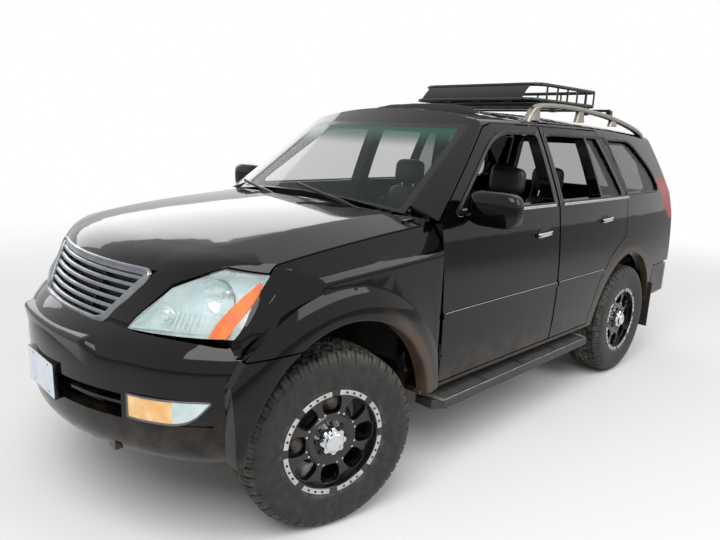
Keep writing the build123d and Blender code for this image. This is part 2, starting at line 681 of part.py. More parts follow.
with BuildPart() as wing_left:
    add(front_shell & block((0, FAR), (NOSE_Y + 388, -800), (480, 1400)))
    add(prism_y(bonnet_outline, *FRONT_REACH, grow=LINE_GAP), mode=Mode.SUBTRACT)
    add(block((0, 790), (-1200, -800), (1000, 1400)), mode=Mode.SUBTRACT)
    add(prism_y(LAMP_OUTLINE, *FRONT_REACH, grow=FIT) & prism_x(LAMP_REAR, 0, FAR, grow=FIT), mode=Mode.SUBTRACT)
    add(block((0, FAR), (NOSE_Y, WING_FRONT_Y), (0, 925)), mode=Mode.SUBTRACT)
    add(front_flare & block((800, FAR), (WING_FRONT_Y + 2, -800), (470, 1400)))
    add(block((0, FAR), (NOSE_Y, FRONT_AXLE_Y), (0, SPLIT_Z + LINE_GAP)), mode=Mode.SUBTRACT)
    add(arch_front, mode=Mode.SUBTRACT)
    add(block((0, FAR), (WING_REAR_Y, -700), (0, 1400)), mode=Mode.SUBTRACT)
write(wing_left.part, "front_wing_left")
write(mirrored(wing_left.part), "front_wing_right")

# Cowl under the windscreen's foot, with the bonnet's hinge ears
COWL_Z = (1250, 1284)
BULKHEAD_Y = (-960, -935)
with BuildPart() as cowl:
    with BuildSketch(Plane.XY.offset(COWL_Z[0])):
        with BuildLine():
            ThreePointArc((-800, -905), (0, -1048), (800, -905))
            Polyline((800, -905), (730, -870), (730, -850))
            ThreePointArc((730, -850), (0, -960), (-730, -850))
            Polyline((-730, -850), (-730, -870), (-800, -905))
        make_face()
    extrude(amount=COWL_Z[1] - COWL_Z[0])
    for side in (1, -1):
        hinge_y, hinge_z = BONNET_HINGE
        ear_x = (BONNET_LUG_X[0] - BONNET_EAR, BONNET_LUG_X[1] + BONNET_EAR)
        add(block(both(*ear_x, side), (hinge_y - 10, hinge_y + 30), (COWL_Z[0], hinge_z + 12)))
        slot_x = (BONNET_LUG_X[0] - FIT, BONNET_LUG_X[1] + FIT)
        add(block(both(*slot_x, side), (hinge_y - 90, hinge_y + 26), (0, 1400)), mode=Mode.SUBTRACT)
        add(disc_x(BONNET_PIN_RADIUS, hinge_y, hinge_z, *both(*ear_x, side)))
write(cowl.part, "cowl")
write(block((-730, 730), BULKHEAD_Y, (565, COWL_Z[0] - FIT)), "bulkhead")

# Rear bumper
REAR_BUMPER_Z = (470, 740)
with BuildPart() as rear_bumper:
    with BuildSketch(Plane.XY.offset(REAR_BUMPER_Z[0])):
        with BuildLine():
            ThreePointArc((-700, TAIL_Y - 45), (0, TAIL_Y), (700, TAIL_Y - 45))
            for way in (1, -1):
                ThreePointArc((way * 700, TAIL_Y - 45), (way * 838, TAIL_Y - 130), (way * 892, TAIL_Y - 300))
                Line((way * 892, TAIL_Y - 300), (way * 900, TAIL_Y - 700))
            Line((-900, TAIL_Y - 700), (900, TAIL_Y - 700))
        make_face()
    extrude(amount=REAR_BUMPER_Z[1] - REAR_BUMPER_Z[0])
    chamfer(edges().group_by(Axis.Z)[-1].filter_by(GeomType.CIRCLE), length=26)
    chamfer(edges().group_by(Axis.Z)[0].filter_by(GeomType.CIRCLE), length=34)
    add(block((-815, 815), (1600, TAIL_Y - 98), (400, 700)), mode=Mode.SUBTRACT)
    add(tail_form(0) & block((-860, 860), (1600, TAIL_Y), (700, 800)), mode=Mode.SUBTRACT)
    add(disc_x(ARCH_REAR_RADIUS + 10, ARCH_REAR_Y, HUB_Z, -FAR, FAR), mode=Mode.SUBTRACT)
    add(block((-FAR, FAR), (1600, ARCH_REAR_Y + ARCH_REAR_RADIUS + 25), (0, FAR)), mode=Mode.SUBTRACT)
write(rear_bumper.part, "rear_bumper")

# Running boards: ribbed treads with rounded ends, on brackets from the frame
BOARD_Z = (348, BOARD_TOP_Z)
BOARD_X = (790, 942)
BOARD_Y = (FRONT_AXLE_Y + 600, REAR_AXLE_Y - 560)
BOARD_RIBS = 6
RAIL_X = (365, 445)
with BuildPart() as running_board:
    plan = [
        (BOARD_X[0], BOARD_Y[0]), (900, BOARD_Y[0]), (BOARD_X[1], BOARD_Y[0] + 60),
        (BOARD_X[1], BOARD_Y[1] - 40), (915, BOARD_Y[1]), (BOARD_X[0], BOARD_Y[1]),
    ]
    add(prism_z(plan, *BOARD_Z, corner=12))
    chamfer(edges().group_by(Axis.Z)[-1].sort_by(Axis.X)[-1], length=8)
    for rib in range(BOARD_RIBS):
        rib_x = BOARD_X[0] + 22 + rib * 19
        add(block((rib_x, rib_x + 9), (BOARD_Y[0] + 90, BOARD_Y[1] - 80), (BOARD_Z[1] - 3, BOARD_Z[1] + 4)))
    for y in (-620, -60, 500):
        add(block((RAIL_X[1] + FIT, 800), (y - 25, y + 25), (352, 382)))
with BuildPart() as boards:
    add(running_board.part)
    add(mirrored(running_board.part))
write(boards.part, "running_boards")

# Ladder frame: rails with a rise over each axle, and cross-members fitted between them
RAIL_SIDE = [
    (-2190, 520), (-1850, 520), (-1750, 566), (-1180, 566), (-960, 430), (850, 430),
    (880, 430), (850, 310), (-930, 310),
    (-1200, 440), (-1750, 440), (-1850, 400), (-2190, 400),
]
REAR_RAIL_X = (440, 515)
REAR_RAIL_SIDE = [
    (780, 430), (850, 430), (1050, 600), (1550, 600), (1750, 520), (2285, 520),
    (2285, 400), (1720, 400), (1530, 480), (1080, 480), (880, 310), (780, 310),
]
TOW_PIN_RADIUS = 8
TOW_PIN = (2340, 435)
# y, height of the middle, depth, reach to each side
CROSS_MEMBERS = [
    (-2154, 460, 80, RAIL_X[0]),
    (-1780, 480, 70, RAIL_X[0]),
    (-700, 370, 90, RAIL_X[0]),
    (0, 370, 90, RAIL_X[0]),
    (800, 350, 60, RAIL_X[0]),
    (1250, 580, 40, REAR_RAIL_X[0]),
    (2257, 460, 80, REAR_RAIL_X[0]),
]
BODY_MOUNTS = (-800, 100, 700)
with BuildPart() as ladder_frame:
    for side in (1, -1):
        add(prism_x(RAIL_SIDE, *both(*RAIL_X, side)))
        add(prism_x(REAR_RAIL_SIDE, *both(*REAR_RAIL_X, side)))
        add(block(both(RAIL_X[0], REAR_RAIL_X[1], side), (780, 850), (310, 430)))
        for y in BODY_MOUNTS:
            add(block(both(440, 560, side), (y - 60, y + 60), (370, 439)))
    for y, z, depth, reach in CROSS_MEMBERS:
        add(block((FIT - reach, reach - FIT), (y - 35, y + 35), (z - depth / 2, z + depth / 2)))
    add(block((-60, 60), (2240, TAIL_Y - 10), (405, 465)))
    add(disc_x(TOW_PIN_RADIUS, *TOW_PIN, -80, 80), mode=Mode.SUBTRACT)
write(ladder_frame.part, "ladder_frame")

# Floor pan with tunnel, heel board and load floor
LOAD_FLOOR_Z = 725
with BuildPart() as floor_pan:
    add(block((-735, 735), (-930, 780), (440, 470)))
    add(block((-170, 170), (-930, 790), (440, 620)))
    add(block((-640, 640), (780, TAIL_Y - 310), (LOAD_FLOOR_Z - 25, LOAD_FLOOR_Z)))
    add(block((-640, 640), (770, 800), (440, LOAD_FLOOR_Z)))
    add(block((-735, 735), (SILL_END_Y - 25.7, SILL_END_Y - 14), (440, LOAD_FLOOR_Z)))
    add(block((-130, 130), (-940, 810), (430, 585)), mode=Mode.SUBTRACT)
write(floor_pan.part, "floor_pan")

# Engine, one plain block with its sump and gearbox
with BuildPart() as engine_block:
    add(block((-300, 300), (-1750, -1130), (560, 1060)))
    add(block((-200, 200), (-1250, -1000), (500, 900)))
    add(block((-115, 115), (-1000, -150), (440, 560)))
    add(block((FIT - RAIL_X[0], RAIL_X[0] - FIT), (-1640, -1580), (500, 580)))
    add(block((-60, 60), (-730, -670), (415 + FIT, 440)))
write(engine_block.part, "engine")
SHAFT_Z = 474
PINION_Y = REAR_AXLE_Y - 130
write(rod((0, -150 + FIT, SHAFT_Z), (0, PINION_Y - FIT, SHAFT_Z), 34), "propshaft")

with BuildPart() as radiator:
    add(block((-360, 360), (-2040, -1960), (540, 900)))
    add(block((-560, 560), (-1980, -1950), (860, 900)))
    add(block((-560, 560), (-1980, -1950), (520 + FIT, 570)))
    for side in (1, -1):
        add(block(both(510, 560, side), (-1980, -1950), (520 + FIT, 900)))
write(radiator.part, "radiator_support")

# Front suspension: wishbones whose eyes turn on the knuckles' ball pins, and the rack's cross-member
BALL_PIN_RADIUS = 10
ARM_THICKNESS = 28
UPPER_BALL_Z = HUB_Z + 165
LOWER_BALL_Z = HUB_Z - 165
with BuildPart() as suspension_front:
    for side in (1, -1):
        for z, inner_x in ((UPPER_BALL_Z + FIT, 380), (LOWER_BALL_Z - FIT - ARM_THICKNESS, 300)):
            arm = [
                (side * 715, FRONT_AXLE_Y - 28), (side * 715, FRONT_AXLE_Y + 28),
                (side * inner_x, FRONT_AXLE_Y + 170), (side * inner_x, FRONT_AXLE_Y + 110),
                (side * 600, FRONT_AXLE_Y), (side * inner_x, FRONT_AXLE_Y - 110),
                (side * inner_x, FRONT_AXLE_Y - 170),
            ]
            add(prism_z(arm, z, z + ARM_THICKNESS))
        with Locations((side * KINGPIN_X, FRONT_AXLE_Y, HUB_Z)):
            Cylinder(BALL_PIN_RADIUS + FIT, 500, mode=Mode.SUBTRACT)
    add(block((-300, 300), (FRONT_AXLE_Y - 200, FRONT_AXLE_Y + 200), (180, 240)))
    add(block((-300, 300), (FRONT_AXLE_Y - 40, FRONT_AXLE_Y + 40), (240, 470)))
    add(block((FIT - RAIL_X[0], RAIL_X[0] - FIT), (FRONT_AXLE_Y - 40, FRONT_AXLE_Y + 40), (400, 500)))
write(suspension_front.part, "front_suspension")

HUB_RADIUS = 55
HUB_INNER_X = 754.7
with BuildPart() as knuckle:
    add(disc_x(HUB_RADIUS, FRONT_AXLE_Y, HUB_Z, 665, HUB_INNER_X))
    add(block((672, 708), (FRONT_AXLE_Y - 34, FRONT_AXLE_Y + 34), (LOWER_BALL_Z, UPPER_BALL_Z)))
    with Locations((KINGPIN_X, FRONT_AXLE_Y, HUB_Z)):
        Cylinder(BALL_PIN_RADIUS, UPPER_BALL_Z - LOWER_BALL_Z + 2 * ARM_THICKNESS + 12)
    add(block((690, 735), (FRONT_AXLE_Y + 100, FRONT_AXLE_Y + 150), (HUB_Z - 60, HUB_Z + 60)))
    add(block((690, 735), (FRONT_AXLE_Y, FRONT_AXLE_Y + 150), (HUB_Z - 20, HUB_Z + 20)))
steer_left = knuckle.part.rotate(Axis((KINGPIN_X, FRONT_AXLE_Y, 0), (0, 0, 1)), STEER_REST)
steer_right = mirrored(knuckle.part).rotate(Axis((-KINGPIN_X, FRONT_AXLE_Y, 0), (0, 0, 1)), STEER_REST)
write(steer_left, "knuckle_left")
write(steer_right, "knuckle_right")

# Rear axle with its differential; springs, dampers and links seat on it
AXLE_RADIUS = 46
SPRING_X = 570
with BuildPart() as rear_axle:
    add(disc_x(AXLE_RADIUS, REAR_AXLE_Y, HUB_Z, -HUB_INNER_X, HUB_INNER_X))
    with Locations((0, REAR_AXLE_Y, HUB_Z)):
        Sphere(108)
    add(rod((0, PINION_Y, SHAFT_Z), (0, REAR_AXLE_Y - 20, SHAFT_Z), 30))
    for side in (1, -1):
        add(disc_x(90, REAR_AXLE_Y, HUB_Z, *both(640, 676, side)))
        with Locations((side * SPRING_X, REAR_AXLE_Y, HUB_Z + AXLE_RADIUS + 4)):
            Cylinder(62, 14)
write(rear_axle.part, "rear_axle")
spring_low = HUB_Z + AXLE_RADIUS + 11 + FIT
spring_high = 700 - FIT
with BuildPart() as rear_links:
    for side in (1, -1):
        with Locations((side * SPRING_X, REAR_AXLE_Y, (spring_low + spring_high) / 2)):
            Cylinder(50, spring_high - spring_low)
        link_along = (SILL_END_Y - 14 + FIT, REAR_AXLE_Y + 20)
        add(block(both(530, 556, side), link_along, (HUB_Z - 100, HUB_Z - AXLE_RADIUS - FIT)))
write(rear_links.part, "rear_springs_and_links")

# Tyre and rim about their own axle line, outer face towards +X
# across the tyre, radius
TYRE_SIDES = 44
TYRE_PROFILE = [(-106, 246), (-120, 262), (-134, 318), (-122, 376), (-92, TYRE_RADIUS)]
TYRE_PROFILE += [(-x, radius) for x, radius in reversed(TYRE_PROFILE)]
BEAD_RADIUS = 233
TYRE_OUTLINE = TYRE_PROFILE + [(-TYRE_PROFILE[0][0], BEAD_RADIUS), (TYRE_PROFILE[0][0], BEAD_RADIUS)]
RIM_PROFILE = [
    (-106, 232), (-106, 244), (-114, 244), (-116, 222), (-100, 214), (88, 214), (100, 206), (118, 206), (120, 212),
    (120, 245), (106, 245), (106, 232),
]
RIM_FACE_X = 62
RIM_DISC_RADIUS = 112
WINDOW_RADIUS = 160


def tyre_point(station, side):
    """Corner of the tyre where a station of its outline meets one of its sides."""
    across, radius = TYRE_OUTLINE[station % len(TYRE_OUTLINE)]
    angle = radians(360 * side / TYRE_SIDES)
    return (across, radius * cos(angle), radius * sin(angle))


def tyre_facet(station, side):
    """Flat face of the tyre between two stations and two sides."""
    corners = [tyre_point(station, side), tyre_point(station + 1, side)]
    corners += [tyre_point(station + 1, side + 1), tyre_point(station, side + 1)]
    return Face(Wire.make_polygon(corners, close=True))


with BuildPart() as tyre:
    stations = range(len(TYRE_OUTLINE))
    add(Solid(Shell([tyre_facet(station, side) for station in stations for side in range(TYRE_SIDES)])))
with BuildPart() as rim:
    with BuildSketch(Plane.XY):
        with BuildLine():
            Polyline(*RIM_PROFILE, close=True)
        make_face()
    revolve(axis=Axis.X)
    with BuildSketch(Plane.YZ.offset(RIM_FACE_X)):
        Circle(218)
        with PolarLocations(WINDOW_RADIUS, SPOKES, start_angle=22.5):
            RectangleRounded(84, 84, 26, mode=Mode.SUBTRACT)
    extrude(amount=26)
    with BuildSketch(Plane.YZ.offset(-40)):
        Circle(78)
    extrude(amount=130)
    with BuildSketch(Plane.YZ.offset(-34)):
        Circle(165)
    extrude(amount=24)
    with BuildSketch(Plane.YZ.offset(RIM_FACE_X + 22)):
        Circle(RIM_DISC_RADIUS)
    extrude(amount=10)
    with BuildSketch(Plane.YZ.offset(RIM_FACE_X + 28)):
        Circle(42)
    extrude(amount=46)


def place_wheel(piece, side, front):
    """Stand a wheel at its corner; front wheels are turned with the steering."""
    placed = piece if side > 0 else mirrored(piece)
    y = FRONT_AXLE_Y if front else REAR_AXLE_Y
    placed = placed.moved(Location((side * WHEEL_X, y, HUB_Z)))
    if front:
        placed = placed.rotate(Axis((side * KINGPIN_X, y, 0), (0, 0, 1)), STEER_REST)
    return placed


for side, side_name in ((1, "left"), (-1, "right")):
    for front, end_name in ((True, "front"), (False, "rear")):
        write(place_wheel(tyre.part, side, front), f"tyre_{end_name}_{side_name}")
        write(place_wheel(rim.part, side, front), f"rim_{end_name}_{side_name}")

# Spare wheel under the load floor
SPARE_Y = REAR_AXLE_Y + 515.7
with BuildPart() as spare:
    add(Rot(0, 90, 0) * tyre.part)
    with BuildSketch(Plane.XY.offset(-30)):
        Circle(BEAD_RADIUS - 1)
    extrude(amount=60)
write(spare.part.moved(Location((0, SPARE_Y, 470))), "spare_wheel")

# Tank, silencer and exhaust pipe between the rails
write(block((-340, -130), (-450, 650), (235, 325 - FIT)), "fuel_tank")
PIPE_X = 240
PIPE_Z = 282
with BuildPart() as exhaust:
    with BuildSketch(Plane.XZ.offset(600)):
        with Locations((PIPE_X, 280 - FIT)):
            Ellipse(90, 45)
    extrude(amount=-900)
    add(rod((PIPE_X, -1080, PIPE_Z), (PIPE_X, -600, PIPE_Z), 26))
    add(rod((PIPE_X, 290, PIPE_Z), (PIPE_X, TAIL_Y - 90, PIPE_Z), 24))
write(exhaust.part, "exhaust")

# Seats, soft and plain: cushion, backrest and headrest in one closed solid
SEAT_X = 425
SEAT_SIDE = [
    (-190, 520), (-210, 690), (-180, 740), (230, 700), (330, 1180), (310, 1240), (320, 1420),
    (410, 1420), (430, 1240), (455, 1180), (370, 620), (330, 520),
]
with BuildPart() as seats_front:
    for x in (SEAT_X, -SEAT_X):
        add(prism_x(SEAT_SIDE, x - 245, x + 245))
        for way in (1, -1):
            beside_headrest = sorted((x + way * 125, x + way * 255))
            add(block(beside_headrest, (-400, 600), (1215, 1500)), mode=Mode.SUBTRACT)
        add(block((x - 180, x + 180), (-150, 300), (470 + FIT, 520)))
write(seats_front.part, "seats_front")
REAR_SEAT_SIDE = [
    (430, 625), (420, 690), (450, 740), (830, 728), (940, 1180), (925, 1240), (930, 1400),
    (1010, 1400), (1030, 1240), (1050, 1180), (930, LOAD_FLOOR_Z + FIT), (762, LOAD_FLOOR_Z + FIT), (762, 625),
]
REAR_HEADREST_GAPS = [(-650, -480), (-240, -170), (170, 240), (480, 650)]
with BuildPart() as seat_rear:
    add(prism_x(REAR_SEAT_SIDE, -640, 640))
    for xs in REAR_HEADREST_GAPS:
        add(block(xs, (700, 1300), (1215, 1500)), mode=Mode.SUBTRACT)
write(seat_rear.part, "seat_rear")

DASH_SIDE = [
    (BULKHEAD_Y[1] + FIT, 900), (BULKHEAD_Y[1] + FIT, 1225), (-800, 1262), (-560, 1215), (-500, 1090),
    (-560, 900), (-700, 820),
]
STEERING_BOSS = (SEAT_X, -370, 1080)
STEERING_SLOPE = 65
COLUMN_END = (SEAT_X, -578, 983)
COLUMN_HOLE_END = (SEAT_X, -580, 982)
COLUMN_RADIUS = 26
dash_solid = prism_x(DASH_SIDE, -725, 725, corner=20)
write(dash_solid - rod(STEERING_BOSS, COLUMN_HOLE_END, COLUMN_RADIUS + FIT), "dashboard")
write(block((-130, 130), (-700, -240), (620 + FIT, 820)), "centre_console")

# Steering wheel: ring with an eight-sided section, boss and three spokes
STEERING_RADIUS = 182
STEERING_GRIP = 15
with BuildPart() as steering_wheel:
    with BuildSketch(Plane.XZ):
        with Locations((STEERING_RADIUS, 0)):
            RegularPolygon(STEERING_GRIP, 8)
    revolve(axis=Axis.Z)
    Cylinder(52, 36)
    for angle in (0, 90, 180):
        with Locations(Location((0, 0, 0), (0, 0, angle))):
            Box(STEERING_RADIUS, 34, 18, align=(Align.MIN, Align.CENTER, Align.CENTER))
wheel_at_rest = (Rot(-STEERING_SLOPE, 0, 0) * steering_wheel.part).moved(Location(STEERING_BOSS))
column = rod(STEERING_BOSS, COLUMN_END, COLUMN_RADIUS)
write(wheel_at_rest + column, "steering_wheel")

# Door mirrors
MIRROR_PLACE = (1045, 1345)
with BuildPart() as mirror_housing:
    with BuildSketch(Plane.XZ.offset(598)):
        with Locations(MIRROR_PLACE):
            RectangleRounded(225, 170, 60)
    with BuildSketch(Plane.XZ.offset(660)):
        with Locations(MIRROR_PLACE):
            RectangleRounded(218, 162, 58)
    with BuildSketch(Plane.XZ.offset(710)):
        with Locations((MIRROR_PLACE[0] - 8, MIRROR_PLACE[1] - 4)):
            RectangleRounded(170, 116, 50)
    loft()
    with BuildSketch(Plane.XZ.offset(630)):
        with Locations((930, 1300)):
            Rectangle(160, 46)
    extrude(amount=50)
mirror_left = mirror_housing.part - cabin_outer
write(mirror_left, "mirror_left")
write(mirrored(mirror_left), "mirror_right")

# Roof rails, basket and wind deflector
ROOF_RAIL_X = (605, 640)
ROOF_RAIL_SIDE = [
    (190, 1700), (245, 1880), (330, 1912), (760, 1925), (1500, 1888), (1800, 1846), (1990, 1690), (1930, 1690),
    (1780, 1812), (1500, 1854), (1420, 1690), (1340, 1690), (1400, 1862), (760, 1888), (740, 1700), (660, 1700),
    (680, 1886), (345, 1878), (285, 1700),
]
with BuildPart() as roof_rails:
    rail_solid = prism_x(ROOF_RAIL_SIDE, *ROOF_RAIL_X) - cabin_outer
    add(rail_solid)
    add(mirrored(rail_solid))
write(roof_rails.part, "roof_rails")

BASKET_X = 520
BASKET_Y = (440, 1400)
BASKET_LEVELS = (1930, 2030)
BASKET_TUBE = 24
BASKET_CORNER = 90
BASKET_SLATS = 5
basket_size = (2 * BASKET_X, BASKET_Y[1] - BASKET_Y[0])
basket_middle = (0, (BASKET_Y[0] + BASKET_Y[1]) / 2)
with BuildPart() as roof_basket:
    for z in BASKET_LEVELS:
        with BuildSketch(Plane.XY.offset(z - BASKET_TUBE / 2)):
            with Locations(basket_middle):
                RectangleRounded(*basket_size, BASKET_CORNER)
                RectangleRounded(
                    basket_size[0] - 2 * BASKET_TUBE, basket_size[1] - 2 * BASKET_TUBE,
                    BASKET_CORNER - BASKET_TUBE, mode=Mode.SUBTRACT
                )
        extrude(amount=BASKET_TUBE)
    for y in (560, 1000, 1380):
        add(block((FIT - ROOF_RAIL_X[0], ROOF_RAIL_X[0] - FIT), (y - 16, y + 16), (1896, 1920)))
    posts = [(x, y) for x in (-400, -200, 0, 200, 400) for y in (BASKET_Y[0] + 12, BASKET_Y[1] - 12)]
    posts += [(x, y) for x in (12 - BASKET_X, BASKET_X - 12) for y in (560, 740, 920, 1100, 1280)]
    for x, y in posts:
        add(block((x - 7, x + 7), (y - 7, y + 7), (BASKET_LEVELS[0], BASKET_LEVELS[1])))
    for slat in range(BASKET_SLATS):
        y = 600 + slat * 160
        add(block((12 - BASKET_X, BASKET_X - 12), (y - 8, y + 8), (BASKET_LEVELS[0] - 12, BASKET_LEVELS[0] + 4)))
    add(block((-420, 420), (BASKET_Y[0] - 16, BASKET_Y[0] + 2), (1922, 2030)))
write(roof_basket.part, "roof_basket")
write(block((-480, 400), (-6, 6), (1800, 1886)) - cabin_outer, "wind_deflector")

lamp_inner = cabin_form(TAIL_LAMP_DEPTH, TAIL_LAMP_DEPTH, TAIL_LAMP_DEPTH, SILL_Z) & tail_form(TAIL_LAMP_DEPTH)
tail_lamp = (cabin_outer - lamp_inner) & prism_x(tail_lamp_outline, TAIL_LAMP_X, FAR)
with BuildPart() as tail_lamps:
    add(tail_lamp)
    add(mirrored(tail_lamp))
write(tail_lamps.part, "tail_lamps")

# Mud flaps behind the rear wheels, on the bumper's front ends
FLAP_Y = ARCH_REAR_Y + ARCH_REAR_RADIUS + 25 - FIT
with BuildPart() as mud_flaps:
    for side in (1, -1):
        add(block(both(700, 915, side), (FLAP_Y - 9, FLAP_Y), (242, 600)))
write(mud_flaps.part, "mud_flaps")
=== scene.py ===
"""Lifted off-road 4x4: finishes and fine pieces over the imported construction.

Lengths are metres. The front faces -Y, the left side +X, and up is +Z.
"""
import json
import logging
import math
from dataclasses import dataclass
from enum import Enum
from typing import Optional, Sequence, Union

import bmesh
import bpy
import numpy as np
from mathutils import Matrix, Vector

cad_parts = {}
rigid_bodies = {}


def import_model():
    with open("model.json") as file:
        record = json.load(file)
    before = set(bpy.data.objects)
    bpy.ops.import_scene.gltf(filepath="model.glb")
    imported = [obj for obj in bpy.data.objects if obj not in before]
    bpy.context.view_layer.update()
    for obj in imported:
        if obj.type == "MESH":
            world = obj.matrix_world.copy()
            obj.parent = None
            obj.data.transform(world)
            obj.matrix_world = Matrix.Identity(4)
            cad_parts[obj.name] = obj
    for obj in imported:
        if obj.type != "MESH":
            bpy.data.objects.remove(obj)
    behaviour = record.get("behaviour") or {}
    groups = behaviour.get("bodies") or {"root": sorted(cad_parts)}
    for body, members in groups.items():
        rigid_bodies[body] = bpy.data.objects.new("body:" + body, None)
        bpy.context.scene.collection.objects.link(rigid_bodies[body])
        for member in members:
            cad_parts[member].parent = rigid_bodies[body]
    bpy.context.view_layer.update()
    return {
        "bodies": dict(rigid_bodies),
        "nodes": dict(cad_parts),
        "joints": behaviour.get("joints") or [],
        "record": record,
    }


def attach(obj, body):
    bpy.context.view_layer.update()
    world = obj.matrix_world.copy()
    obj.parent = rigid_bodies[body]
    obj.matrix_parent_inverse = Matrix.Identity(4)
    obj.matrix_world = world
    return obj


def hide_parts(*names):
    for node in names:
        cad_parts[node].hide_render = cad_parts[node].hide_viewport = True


log = logging.getLogger("off_road_4x4")
Number = Union[float, "Wire"]


class Wire:
    """A shader socket that does arithmetic by adding Math nodes to its tree."""

    def __init__(self, tree: bpy.types.NodeTree, socket: bpy.types.NodeSocket) -> None:
        """Keep the tree and the socket."""
        self.tree = tree
        self.socket = socket

    def _math(self, operation: str, first: Number, second: Number = 0.0, third: Number = 0.0) -> "Wire":
        """Add one Math node.

        Args:
            operation: the node's operation.
            first: its first input, a number or a wire.
            second: its second input.
            third: its third input.

        Returns:
            The node's result.
        """
        node = self.tree.nodes.new("ShaderNodeMath")
        node.operation = operation
        for index, value in enumerate((first, second, third)):
            if isinstance(value, Wire):
                self.tree.links.new(value.socket, node.inputs[index])
            else:
                node.inputs[index].default_value = value
        return Wire(self.tree, node.outputs[0])

    def __add__(self, other: Number) -> "Wire":
        """Sum."""
        return self._math("ADD", self, other)

    __radd__ = __add__

    def __sub__(self, other: Number) -> "Wire":
        """Difference."""
        return self._math("SUBTRACT", self, other)

    def __rsub__(self, other: Number) -> "Wire":
        """Difference with the wire second."""
        return self._math("SUBTRACT", other, self)

    def __mul__(self, other: Number) -> "Wire":
        """Product."""
        return self._math("MULTIPLY", self, other)

    __rmul__ = __mul__

    def __pow__(self, other: Number) -> "Wire":
        """Power."""
        return self._math("POWER", self, other)

    def band(self, low: float, high: float) -> "Wire":
        """Smooth step from 0 below low to 1 above high."""
        settings = {"interpolation_type": "SMOOTHSTEP"}
        return Graph(self.tree).node("MapRange", settings, "Result", Value=self, From_Min=low, From_Max=high)

    def maximum(self, other: Number) -> "Wire":
        """Larger of the two."""
        return self._math("MAXIMUM", self, other)

    def absolute(self) -> "Wire":
        """Distance from zero."""
        return self._math("ABSOLUTE", self)


class Graph:
    """A node tree, with one method that adds any node."""

    def __init__(self, tree: bpy.types.NodeTree) -> None:
        """Keep the tree."""
        self.tree = tree

    def feed(self, socket: bpy.types.NodeSocket, value: Union[Number, tuple]) -> None:
        """Link a wire to a socket, or set its value.

        Args:
            socket: the socket.
            value: a wire, a number or a tuple of numbers.
        """
        if isinstance(value, Wire):
            self.tree.links.new(value.socket, socket)
        else:
            socket.default_value = value

    def node(self, kind: str, settings: Optional[dict] = None, out: Union[int, str] = 0, **sockets) -> Wire:
        """Add a node.

        Args:
            kind: the node's type without its ShaderNode prefix.
            settings: attributes, set before the sockets.
            out: the output that is returned.
            sockets: values or wires by socket name, with _ for a blank, or by _ and the socket's number.

        Returns:
            The chosen output.
        """
        made = self.tree.nodes.new("ShaderNode" + kind)
        for key, value in (settings or {}).items():
            setattr(made, key, value)
        for key, value in sockets.items():
            self.feed(made.inputs[int(key[1:]) if key[1:].isdigit() else key.replace("_", " ")], value)
        return Wire(self.tree, made.outputs[out])


class Shade(Graph):
    """A material under construction."""

    def __init__(self, name: str) -> None:
        """Start a material with a Principled shader.

        Args:
            name: the material's name.
        """
        self.material = bpy.data.materials.new(name)
        self.material.use_nodes = True
        super().__init__(self.material.node_tree)
        self.shader = self.tree.nodes["Principled BSDF"]
        self.output = self.tree.nodes["Material Output"]

    def place(self, axis: str) -> Wire:
        """Object coordinate along X, Y or Z."""
        spot = self.node("TexCoord", out="Object")
        return self.node("SeparateXYZ", out=axis, Vector=spot)

    def noise(self, scale: float, detail: float = 4.0, roughness: float = 0.55) -> Wire:
        """Cloudy noise on object coordinates."""
        spot = self.node("TexCoord", out="Object")
        return self.node("TexNoise", Vector=spot, Scale=scale, Detail=detail, Roughness=roughness)

    def set(self, **sockets) -> None:
        """Set or link sockets of the Principled shader, with _ for a blank."""
        for key, value in sockets.items():
            self.feed(self.shader.inputs[key.replace("_", " ")], value)

    def mix(self, factor: Wire, first: tuple, second: tuple) -> Wire:
        """Blend of two colours, each a tuple or a wire."""
        return self.node("Mix", {"data_type": "RGBA"}, 2, _0=factor, _6=first, _7=second)

    def bump(self, height: Wire, depth: float, strength: float = 0.5) -> None:
        """Feed a height through a Bump node to the normal."""
        self.set(Normal=self.node("Bump", Height=height, Distance=depth, Strength=strength))


def rgb(code: str) -> tuple:
    """Linear colour with alpha from an sRGB hex code.

    Args:
        code: # and six hex digits.

    Returns:
        Red, green, blue and alpha, each from 0 to 1.
    """
    parts = [int(code[index:index + 2], 16) / 255 for index in (1, 3, 5)]
    linear = [part / 12.92 if part <= 0.04045 else ((part + 0.055) / 1.055) ** 2.4 for part in parts]
    return (*linear, 1.0)


GLASS_IOR = 1.45
FRONT_AXLE = -1.485
REAR_AXLE = 1.305
HUB = 0.401
HALF_TRACK = 0.795
DOORS = {end: (f"door_{end}_left", f"door_{end}_right") for end in ("front", "rear")}
KINGPIN = 0.690
STEERED = math.radians(-14.0)
TIP = 0.0005


